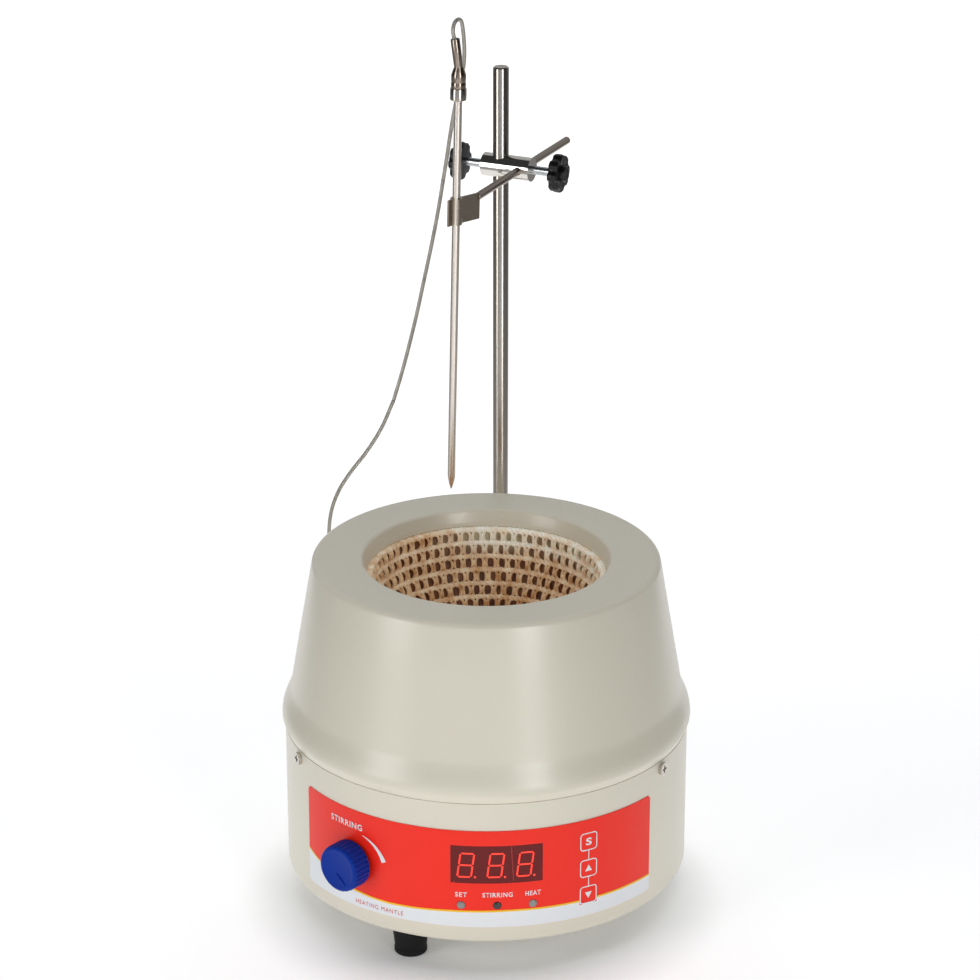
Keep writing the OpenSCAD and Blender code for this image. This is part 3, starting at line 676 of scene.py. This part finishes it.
KEY_AT = 33.0
KEY_Z = {"set_key": 64.4, "up_key": 50.2, "down_key": 36.0}
KEY_FRAME = 4.42
KEY_GAP = 0.3
KEY_CORNER = 1.5
KEY_LINE = 0.55
KEY_LINK = 0.45
KEY_LINK_AT = 4.7
KEY_FOOT = KEY_Z["down_key"] - KEY_FRAME - KEY_GAP
YELLOW_LINE = 0.95
YELLOW_LIFT = 0.075
key_sides = [degrees_to_wall(KEY_AT) + k * (KEY_FRAME + KEY_GAP) for k in (-1, 1)]
columns = np.linspace(-FILM_HALF + 0.02, FILM_HALF - 0.02, 181)
columns = [x for x in columns if not key_sides[0] - KEY_GAP < x < key_sides[1] + KEY_GAP]
stretches = [
    [x for x in columns if x < key_sides[0]] + [key_sides[0]],
    [key_sides[1]] + [x for x in columns if x > key_sides[1]],
]


def band(xs, low, high):
    points = [p for x in xs for p in ((x, low(x)), (x, high(x)))]
    return points, [(2 * i, 2 * i + 2, 2 * i + 3, 2 * i + 1) for i in range(len(xs) - 1)]


def strip_floor(x):
    return film_floor(x) + 0.02


white = [band(xs, strip_floor, white_edge) for xs in stretches]
white.append(band(list(np.linspace(*key_sides, 9)), strip_floor, lambda x: KEY_FOOT))
wall_piece("panel_white_strip", white, film_white)
yellow = [band(xs, white_edge, lambda x: white_edge(x) + YELLOW_LINE) for xs in stretches]
wall_piece("panel_yellow_line", yellow, film_yellow, lift=YELLOW_LIFT)

TEXT_LIFT = 0.11
LED_TEXT = 2.45
LED_TEXT_Z = 42.3
labels = [lettering("STIRRING", 3.3, degrees_to_wall(-38.6), 67.8, 20.5)]
for words, angle, width in (("SET", -3.2, 5.7), ("STIRRING", 6.8, 14.4), ("HEAT", 16.6, 7.6)):
    labels.append(lettering(words, LED_TEXT, degrees_to_wall(angle), LED_TEXT_Z, width))
wall_piece("panel_labels", labels, film_white, lift=TEXT_LIFT)
wall_piece(
    "panel_small_label", [lettering("HEATING MANTLE", 2.3, degrees_to_wall(-27.5), 27.9, 27.0, 0.0)],
    film_ink, lift=TEXT_LIFT,
)
ARC_POINTS = 15
arc_centre = (degrees_to_wall(-36), 48.5)
arc_path = [
    (arc_centre[0] + r * math.cos(a), arc_centre[1] + r * math.sin(a))
    for a, r in zip(np.radians(np.linspace(70, 14, ARC_POINTS)), np.linspace(16.6, 18.6, ARC_POINTS))
]
arc_width = list(np.linspace(0.25, 2.6, ARC_POINTS))
wall_piece("panel_speed_arc", [stroke(arc_path, arc_width)], film_white, lift=TEXT_LIFT)

set_z, up_z, down_z = KEY_Z.values()
frames = [stroke(rounded_box(0, z, KEY_FRAME, KEY_CORNER), KEY_LINE, closed=True) for z in KEY_Z.values()]
for above, below in ((set_z, up_z), (up_z, down_z)):
    frames.append(stroke([(0, above - KEY_LINK_AT), (0, below + KEY_LINK_AT)], KEY_LINK))
wall_piece("panel_key_frames", frames, film_white, lift=TEXT_LIFT, at=KEY_AT)
TRIANGLE = [(0, 1, 2)]
MARKS = {
    "set_key": lettering("S", 3.9, 0, set_z, 3.2, 0.03),
    "up_key": ([(-1.9, up_z - 1.5), (1.9, up_z - 1.5), (0, up_z + 1.8)], TRIANGLE),
    "down_key": ([(-1.9, down_z + 1.4), (0, down_z - 1.9), (1.9, down_z + 1.4)], TRIANGLE),
}
for key, shape in MARKS.items():
    wall_piece(key + "_mark", [shape], film_white, key, TEXT_LIFT, KEY_AT)

SLANT = 0.13
BAR_GAP = 0.42
BAR_WIDTH = 0.8
POINT_WIDTH = 1.0
POINT_OUT = 1.9


def digit(cx, cz, w, h):
    """The seven bars of a digit, then its point."""
    x, z, gap = w / 2, h / 2, BAR_GAP
    bars = [
        ((-x + gap, z), (x - gap, z)), ((-x + gap, 0), (x - gap, 0)), ((-x + gap, -z), (x - gap, -z)),
        ((-x, gap), (-x, z - gap)), ((x, gap), (x, z - gap)),
        ((-x, -z + gap), (-x, -gap)), ((x, -z + gap), (x, -gap)),
    ]
    shapes = []
    for a, b in bars:
        ends = [(cx + px + SLANT * pz, cz + pz) for px, pz in (a, b)]
        shapes.append(stroke(ends, BAR_WIDTH))
    dot = (cx + x + POINT_OUT - SLANT * z, cz - z)
    half = POINT_WIDTH / 2
    shapes.append(stroke([(dot[0] - half, dot[1]), (dot[0] + half, dot[1])], POINT_WIDTH))
    return shapes


DISPLAY_AT = 6.6
DIGIT_X = (-14.8, -0.5, 13.6)
DIGIT_Z = 58.0
DIGIT_W = 6.6
DIGIT_H = 12.4
segments = [s for x in DIGIT_X for s in digit(x, DIGIT_Z, DIGIT_W, DIGIT_H)]
wall_piece("display_digits", segments, digit_lit, lift=0.06, at=DISPLAY_AT)
seams = [stroke([(8.0, 49.6), (6.9, 67.6)], 0.4), stroke([(-21.0, 48.9), (-20.2, 48.9)], 0.5)]
wall_piece("display_seam", seams, digit_seam, lift=0.05, at=DISPLAY_AT)

LED_ANGLES = (-3.2, 6.7, 16.6)
LED_Z = 36.6
LED_R = 2.0
LED_FOOT = 0.05
LED_RISE = 0.75
dome = [(LED_R, -3.0), (LED_R, LED_FOOT)]
for tilt in range(10, 90, 10):
    a = math.radians(tilt)
    dome.append((LED_R * math.cos(a), LED_FOOT + LED_RISE * math.sin(a)))
dome.append((0.12, LED_FOOT + LED_RISE))
for number, (angle, mat) in enumerate(zip(LED_ANGLES, (lens_grey, lens_dark, lens_grey)), 1):
    place = turn("Z", angle) @ shift(0, -FILM_R, LED_Z) @ turn("X", 90)
    lathe("led_lens_%d" % number, dome, mat, "base", place, 32, 50)

# ---- knobs ----

KNOB_R = 11.8
KNOB_FLUTES = 30
FLUTE_DEPTH = 0.62


def flutes(angle, depth):
    """The grip's radius: narrow grooves with broad lands between them."""
    wave = 0.5 + 0.5 * math.cos(KNOB_FLUTES * angle)
    return KNOB_R - FLUTE_DEPTH * depth * wave ** 1.6


KNOB_PLACE = turn("Z", -36) @ shift(0, -101.1, 48.5) @ turn("X", 90)
KNOB_LAYERS = [
    (3.4, 1.6, 0), (3.3, 0.1, 0), (0.5, 0.0, 0), (0.15, 0.15, 0.2), (0.0, 0.6, 1), (0.0, 8.4, 1),
    (0.1, 9.1, 0.75), (0.3, 9.6, 0.35), (0.62, 10.05, 0), (1.05, 10.35, 0), (1.5, 10.47, 0), (2.1, 10.5, 0),
    (2.5, 10.36, 0), (2.9, 10.22, 0), (11.6, 10.16, 0),
]
knob = lobed(
    "stirring_knob_grip", flutes, KNOB_LAYERS, knob_blue, "stirring_knob", KNOB_PLACE,
    360, 55,
)
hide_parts("stir_knob")
rib = [Vector((-1.0, -2.2, 10.22)), Vector((4.6, -7.4, 10.28))]
rib_points = [rib[0].lerp(rib[1], k / 8) for k in range(9)]
verts, faces, _ = sweep(rib_points, [0.2, 0.5, 0.62, 0.66, 0.7, 0.7, 0.66, 0.55, 0.25], 12)
add_piece(
    "stirring_knob_pointer", verts, faces, knob_blue, "stirring_knob", place=KNOB_PLACE
)


STAR_R = 9.7
STAR_LOBES = 8
VALLEY_AT = 11.2
VALLEY_R = 2.7
STAR_SOFT = 0.35


def star(angle, _):
    """The grip's radius: lobes with round valleys between them, at one depth all through."""
    step = 2 * math.pi / STAR_LOBES
    off = angle % step - step / 2
    r = STAR_R
    reach = VALLEY_AT * math.sin(abs(off))
    if reach < VALLEY_R:
        valley = VALLEY_AT * math.cos(off) - math.sqrt(VALLEY_R ** 2 - reach ** 2)
        r = -STAR_SOFT * math.log(math.exp(-r / STAR_SOFT) + math.exp(-valley / STAR_SOFT))
    return r


BOSS = shift(0, 112, 340) @ turn("Z", -21)
STAR_T = 4.8
STAR_LAYERS = [
    (6.2, 0.0, 1), (1.1, 0.0, 1), (0.5, 0.12, 1), (0.14, 0.5, 1), (0.0, 1.1, 1), (0.0, STAR_T - 1.3, 1),
    (0.14, STAR_T - 0.6, 1), (0.5, STAR_T - 0.2, 1), (1.1, STAR_T, 1), (2.4, STAR_T - 0.05, 1),
    (4.6, STAR_T - 0.3, 1), (4.9, STAR_T - 0.3, 1),
]
HUB = [
    (4.1, STAR_T - 0.5), (4.1, STAR_T + 1.4), (3.7, STAR_T + 2.0), (2.6, STAR_T + 2.1),
    (2.5, STAR_T + 1.8), (0.2, STAR_T + 1.8),
]
for side, start, body, node in (
    (180, 20.2, "rod_screw", "rod_star_knob"),
    (0, 29.0, "arm_screw", "arm_star_knob"),
):
    place = BOSS @ turn("Z", side) @ shift(start, 0, 0) @ turn("Y", 90)
    grip = lobed(body + "_star", star, STAR_LAYERS, star_black, body, place, 240, 50)
    lathe(body + "_hub", HUB, star_black, body, place, 48, 40)
    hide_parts(node)

# ---- upper housing: a spun cone running smoothly into its skirt ----

WALL_SLOPE = 0.1725
TOP_R = 84.9
TOP_Z = 175.5
SEAM_Z = 90.12
FOOT_Z = 84.0
CONE_LOW = 110.0
SKIRT_TURN = 20.0
INSIDE_R = 96.7


def cone_radius(z):
    return TOP_R + (TOP_Z - z) * WALL_SLOPE


def arc(cx, cz, r, start, end, steps):
    """Points on a round of a profile, its angles in degrees up from the outward direction."""
    angles = (math.radians(start + (end - start) * k / steps) for k in range(steps + 1))
    return [(cx + r * math.cos(a), cz + r * math.sin(a)) for a in angles]


def blend_curve(low, high, slope_low, slope_high, steps):
    """Smooth run between two profile points, its slopes being radius for height."""
    rise = high[1] - low[1]
    out = []
    for k in range(1, steps):
        t = k / steps
        ease = t * t * (3 - 2 * t)
        bow = t * (1 - t) * ((1 - t) * slope_low - t * slope_high) * rise
        out.append((low[0] + (high[0] - low[0]) * ease + bow, low[1] + rise * t))
    return out


spigot = [(97.9, FOOT_Z), (97.9, SEAM_Z), (99.3, SEAM_Z), (100.9, 94.0)]
skirt = arc(85.0, 94.4, 16.0, 0.0, SKIRT_TURN, 5)
wall_low = (cone_radius(CONE_LOW), CONE_LOW)
flare = blend_curve(skirt[-1], wall_low, -math.tan(math.radians(SKIRT_TURN)), -WALL_SLOPE, 10)
cone = [(cone_radius(z), z) for z in (CONE_LOW, 130.0, 150.0)]
shoulder = arc(82.37, 172.5, 3.0, 9.8, 90.0, 8)
mouth = [(72.0, TOP_Z)] + arc(62.1, 173.5, 2.0, 90.0, 180.0, 8) + [(58.2, 170.0), (58.2, 167.5)]
inside = [
    (59.4, 167.5), (59.4, 170.0), (61.5, 173.4), (62.5, 174.3), (81.5, 174.3),
    (INSIDE_R, 92.0), (INSIDE_R, FOOT_Z),
]
lathe(
    "upper_shell", spigot + skirt + flare + cone + shoulder + mouth + inside, paint, "base",
    Matrix.Identity(4), 240, 50, "upper_housing", hollow=True,
)

# ---- bars and probe, turned ----

AT_ROD = shift(0, 112, 0)
rod = [(4.0, 31.0), (4.0, 390.3), (3.9, 390.6), (3.4, 391.0), (0.3, 391.0)]
lathe("rod_bar", rod, rod_steel, "rod", AT_ROD, 96, 35, "support_rod")
AT_ARM = BOSS @ shift(11.6, 0, 0) @ turn("X", -90)
arm = [(1.7, -54.0), (2.0, -53.7), (2.0, 55.7), (1.7, 56.0), (0.2, 56.0)]
lathe("arm_bar", arm, arm_steel, "arm", AT_ARM, 64, 35, "probe_arm")
AT_PROBE = shift(-17.7, 48, 335.8) @ turn("Y", 1.2)
sheath = [
    (0.25, -144.5), (0.5, -143.9), (1.25, -141.4), (1.85, -138.6), (1.97, -137.9), (2.0, -137.2),
    (2.0, 57.0),
]
lathe("sheath_tube", sheath, sheath_steel, "probe", AT_PROBE, 64, 50, "probe_sheath")
collar = [(2.02, 55.5), (3.7, 55.5), (4.0, 55.8), (4.0, 61.1), (3.85, 61.4), (3.6, 61.5)]
lathe("collar_ring", collar, rod_steel, "probe", AT_PROBE, 64, 35, "probe_collar")
barrel = [
    (3.55, 61.5), (3.62, 61.8), (3.62, 64.0), (3.48, 64.3), (3.48, 64.6), (3.62, 64.9), (3.62, 67.8),
    (3.45, 68.6), (2.9, 70.2), (2.4, 71.4), (2.2, 72.0),
]
barrel_piece = lathe("ferrule_barrel", barrel, ferrule_steel, "probe", AT_PROBE, 64, 30)
AT_CRIMP = AT_PROBE @ shift(0, 0, 70.9) @ turn("Y", -8)
crimp = [(2.0, 0.0), (2.25, 0.5), (2.27, 14.3), (2.15, 14.6), (1.7, 14.6), (1.6, 12.6), (0.2, 12.6)]
crimp_piece = lathe("ferrule_crimp", crimp, ferrule_steel, "probe", AT_CRIMP, 64, 35)
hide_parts("probe_ferrule")
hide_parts("probe_ferrule")


# ---- knitted bowl ----

BOWL_Z = 163.0
KNIT_R = 57.6
COURSE = 7.0
STITCH = 5.6
PITCH = math.degrees(COURSE / KNIT_R)
YARN_R = 0.84
LEG_POINTS = 8
LEG_BULGE = 1.5
ROPE_STEPS = 6
RIDGE_INWARD = 0.85
RIDGE_SWAY = 0.65
RIDGE_DEPTH = 0.6
RIM_ANGLE = 93.0
RIM_R = 58.1
RIM_Z = 166.7
RIM_STEPS = 480
RIM_YARN_R = 0.55


def bowl_point(alpha, beta, inward):
    """A point by the bowl: alpha degrees up from its bottom, beta degrees round it, inward of the knit."""
    r = KNIT_R - inward
    a, b = math.radians(alpha), math.radians(beta)
    return Vector((r * math.sin(a) * math.cos(b), r * math.sin(a) * math.sin(b), BOWL_Z - r * math.cos(a)))


def strand(points, radius, sides=6):
    """A short strand of yarn, its rings facing along it."""
    verts = []
    middle = Vector((0.0, 0.0, BOWL_Z))
    for i, p in enumerate(points):
        t = (points[min(i + 1, len(points) - 1)] - points[max(i - 1, 0)]).normalized()
        side = t.cross(middle - p).normalized()
        up = t.cross(side)
        r = radius[i] if isinstance(radius, list) else radius
        for k in range(sides):
            a = 2 * math.pi * k / sides
            verts.append(p + r * (side * math.cos(a) + up * math.sin(a)))
    return verts, rings_to_faces(len(points), sides)


def gather(parts):
    verts, faces = [], []
    for v, f in parts:
        base = len(verts)
        verts += v
        faces += [tuple(base + i for i in face) for face in f]
    return verts, faces


def twist_at(step, phase):
    """How far one of a rope's two yarns has turned about the other."""
    return 2 * math.pi * step / ROPE_STEPS + phase


def ridge_yarn(top, count, start, phase):
    """One of the two yarns twisted together along the top of a course."""
    path = []
    samples = count * ROPE_STEPS
    for k in range(samples + 1):
        twist = twist_at(k, phase)
        alpha = top + RIDGE_SWAY * math.sin(twist)
        inward = RIDGE_INWARD + RIDGE_DEPTH * math.cos(twist)
        path.append(bowl_point(alpha, start + 360 * k / samples, inward))
    return strand(path, YARN_R)


def rim_yarn(phase):
    """One of the two yarns of the rope laid along the bowl's mouth."""
    path = []
    for k in range(RIM_STEPS + 1):
        twist = twist_at(k, phase)
        b = 2 * math.pi * k / RIM_STEPS
        r = RIM_R + 0.2 * math.cos(twist)
        path.append(Vector((r * math.cos(b), r * math.sin(b), RIM_Z + 0.15 * math.sin(twist))))
    return strand(path, RIM_YARN_R)


def stitch_leg(top, beta, width, lean, thick, bulge):
    """Half of a looped stitch: bowed inward, leaning in and thickest at its middle."""
    path, fat = [], []
    for j in range(LEG_POINTS):
        t = j / (LEG_POINTS - 1)
        arch = math.sin(math.pi * t)
        alpha = top - PITCH * (0.08 + 0.84 * t)
        swing = lean * (0.26 - 0.16 * arch)
        path.append(bowl_point(alpha, beta + width * swing, 0.2 + bulge * arch ** 0.8))
        fat.append(thick * (0.62 + 0.38 * arch))
    return strand(path, fat)


def knit_parts():
    """Courses of looped stitches between corded ridges."""
    rng = random.Random(7)
    loops, ridges = [], []
    for row in range(int(RIM_ANGLE / PITCH)):
        top = RIM_ANGLE - row * PITCH
        round_length = 2 * math.pi * KNIT_R * math.sin(math.radians(top - PITCH / 2))
        count = max(5, round(round_length / STITCH))
        width = 360 / count
        start = rng.uniform(0, width)
        ridges += [ridge_yarn(top, count, start, phase) for phase in (0.0, math.pi)]
        for k in range(count):
            beta = start + width * (k + rng.uniform(-0.08, 0.08))
            thick = YARN_R * rng.uniform(0.88, 1.12)
            bulge = LEG_BULGE * rng.uniform(0.85, 1.15)
            loops += [stitch_leg(top, beta, width, lean, thick, bulge) for lean in (-1, 1)]
    ridges += [rim_yarn(phase) for phase in (0.0, math.pi)]
    return loops, ridges


loops, ridges = knit_parts()
verts, faces = gather(loops)
stitches = add_piece("knit_stitches", verts, faces, yarn_tan, "base")
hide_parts("knit_bowl")
# The ridges take the lighter yarn copy, a painted highlight.
verts, faces = gather(ridges)
cords = add_piece("knit_ridges", verts, faces, yarn_ridge_highlight, "base")
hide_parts("knit_bowl")

BACKING_IN = 57.9
BACKING_OUT = 59.8
BACKING_ANGLE = 94.0
BACKING_STEPS = 40


def bowl_curve(r):
    """The bowl's profile at one radius, from its bottom up to the backing's edge."""
    angles = [math.radians(BACKING_ANGLE * k / BACKING_STEPS) for k in range(BACKING_STEPS + 1)]
    return [(max(0.05, r * math.sin(a)), BOWL_Z - r * math.cos(a)) for a in angles]


# The backing shows through the holes between stitches; its dark yarn copy is painted shade.
layer = list(reversed(bowl_curve(BACKING_IN))) + bowl_curve(BACKING_OUT)
backing = lathe("knit_backing", layer, yarn_painted_shade, "base", Matrix.Identity(4), 120, 60, hollow=True)
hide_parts("knit_bowl")


# ---- looks of the carried-over CAD nodes ----

LOOKS = {
    paint: ["base_housing", "bottom_plate"],
    film_red: ["front_panel", "key_set", "key_up", "key_down"],
    window: ["display_window"],
    star_black: ["display_module"],
    lens_dark: ["indicator_leds"],
    board: ["control_board"],
    black_case: ["key_switches", "power_inlet", "power_switch", "fuse_holder"],
    red_switch: ["power_rocker"],
    white_block: ["terminal_block"],
    rubber: ["feet"],
    zinc: [
        "foot_screws", "board_posts", "pot_nut", "bowl_posts", "motor_bracket", "frame_screws", "rod_stud",
        "arm_stud",
    ],
    bright_nickel: ["housing_screws", "probe_socket", "lead_plug", "potentiometer"],
    chrome: ["boss_head"],
    aluminium: ["heat_sink", "rod_socket", "magnet_holder", "pot_shaft"],
    spun: ["support_bowl"],
    sheet_steel: ["probe_clip", "magnets", "motor_shaft"],
    oxide_steel: ["socket_screw"],
    motor_case: ["stir_motor"],
    copper_block: ["transformer"],
    brass: ["inlet_pins"],
    wire_mat: ["heating_element"],
    felt: ["insulation_bowl"],
}
for mat, names in LOOKS.items():
    for name in names:
        mesh = NODES[name].data
        mesh.materials.clear()
        mesh.materials.append(mat)
        mesh.polygons.foreach_set("use_smooth", [True] * len(mesh.polygons))
        mesh.set_sharp_from_angle(angle=math.radians(35))
for name in ("lead_tail", "lead_coil", "lead_rise", "lead_lower", "lead_upper", "lead_loop"):
    NODES[name].data.materials.clear()
    NODES[name].data.materials.append(braid)


# ---- floor and light ----

def stage_sheet(name, corners, mat):
    mesh = bpy.data.meshes.new(name)
    mesh.from_pydata(corners, [], [(0, 1, 2, 3)])
    mesh.materials.append(mat)
    obj = bpy.data.objects.new(name, mesh)
    bpy.context.scene.collection.objects.link(obj)


FLOOR_Z = -0.0002
LIT_FAN = 0.22
LIT_EDGE = (0.28, 0.42)

# Painted light: the floor glows, most behind and far in front, darker and without glow at the sides, and its
# glow drops around the base as a painted contact shadow.
floor_nodes = Nodes("pale_floor")
floor_split = floor_nodes.add("ShaderNodeSeparateXYZ")
floor_nodes.join(floor_nodes.coords(), floor_split.inputs[0])
floor_x, floor_y, _ = floor_split.outputs
shade_y = floor_nodes.math("ADD", floor_y, 0.02)
from_middle = floor_nodes.math("SQRT", floor_nodes.math(
    "ADD", floor_nodes.math("MULTIPLY", floor_x, floor_x), floor_nodes.math("MULTIPLY", shade_y, shade_y)
))
wider = floor_nodes.math("MULTIPLY", floor_nodes.math("ABSOLUTE", floor_y), LIT_FAN)
out_sideways = floor_nodes.math("SUBTRACT", floor_nodes.math("ABSOLUTE", floor_x), wider)
lit_width = floor_nodes.spread(out_sideways, *LIT_EDGE, 1.0, 0.0)
lit_sides = floor_nodes.spread(out_sideways, *LIT_EDGE, 0.0, 0.03)
lit_front = floor_nodes.spread(floor_y, -1.4, -1.0, 0.25, 1.0)
# Painted shadow: the glow falls off towards the base, standing for the shadow under and in front of it.
glow_with_painted_base_shadow = floor_nodes.spread(from_middle, 0.075, 0.122, 0.11, 0.46)
lit_rear = floor_nodes.spread(floor_y, 0.05, 1.2, 0.0, 0.4)
lit_along = floor_nodes.math("MULTIPLY", lit_front, floor_nodes.math("ADD", glow_with_painted_base_shadow, lit_rear))
floor_nodes.set(
    Base_Color=floor_nodes.blend(lit_width, (0.45, 0.45, 0.45, 1.0), (0.92, 0.93, 0.95, 1.0)),
    Roughness=0.9,
    Specular_IOR_Level=0.1,
    Emission_Color=(1, 1, 1, 1),
    Emission_Strength=floor_nodes.math("ADD", lit_sides, floor_nodes.math("MULTIPLY", lit_width, lit_along)),
)
corners = [(x, y, FLOOR_Z) for x, y in ((-4, -3), (4, -3), (4, 6), (-4, 6))]
stage_sheet("floor", corners, floor_nodes.material)

LIGHT_AIM = Vector((0, 0, 0.12))


def soft_light(name, azimuth, elevation, distance, width, height, power, mirrored=True):
    """A rectangular lamp: azimuth 0 stands at the camera's side, positive to the right."""
    data = bpy.data.lights.new(name, "AREA")
    data.shape = "RECTANGLE"
    data.size, data.size_y = width, height
    data.energy = power
    lamp = bpy.data.objects.new(name, data)
    a, e = math.radians(azimuth), math.radians(elevation)
    towards = Vector((math.sin(a) * math.cos(e), -math.cos(a) * math.cos(e), math.sin(e)))
    lamp.location = LIGHT_AIM + distance * towards
    lamp.rotation_euler = (LIGHT_AIM - lamp.location).to_track_quat("-Z", "Y").to_euler()
    lamp.visible_glossy = mirrored
    bpy.context.scene.collection.objects.link(lamp)


soft_light("key_left", -52, 14, 1.9, 0.7, 1.2, 9.5)
soft_light("key_right", 30, 14, 1.9, 0.45, 1.2, 9.0)
soft_light("overhead", 170, 78, 2.2, 2.4, 1.6, 19, mirrored=False)

world = bpy.data.worlds.new("studio")
world.use_nodes = True
sky = world.node_tree
background = sky.nodes["Background"]
background.inputs["Color"].default_value = (0.95, 0.97, 1.0, 1.0)
direction = sky.nodes.new("ShaderNodeTexCoord")
sky_split = sky.nodes.new("ShaderNodeSeparateXYZ")
sky.links.new(direction.outputs["Generated"], sky_split.inputs[0])


def sky_part(axis, low, high, at_low, at_high):
    """Brightness that changes along one axis of the sky."""
    fall = sky.nodes.new("ShaderNodeMapRange")
    sky.links.new(sky_split.outputs[axis], fall.inputs["Value"])
    for key, value in (("From Min", low), ("From Max", high), ("To Min", at_low), ("To Max", at_high)):
        fall.inputs[key].default_value = value
    return fall.outputs["Result"]


def sky_math(operation, a, b):
    node = sky.nodes.new("ShaderNodeMath")
    node.operation = operation
    sky.links.new(a, node.inputs[0])
    sky.links.new(b, node.inputs[1])
    return node.outputs["Value"]


sky_before = sky_part("Y", -0.92, -0.78, 0.50, 0.02)
sky_behind = sky_part("Y", 0.36, 0.52, 0.02, 0.45)
sky_strength = sky_math("ADD", sky_before, sky_behind)
sky.links.new(sky_strength, background.inputs["Strength"])
bpy.context.scene.world = world
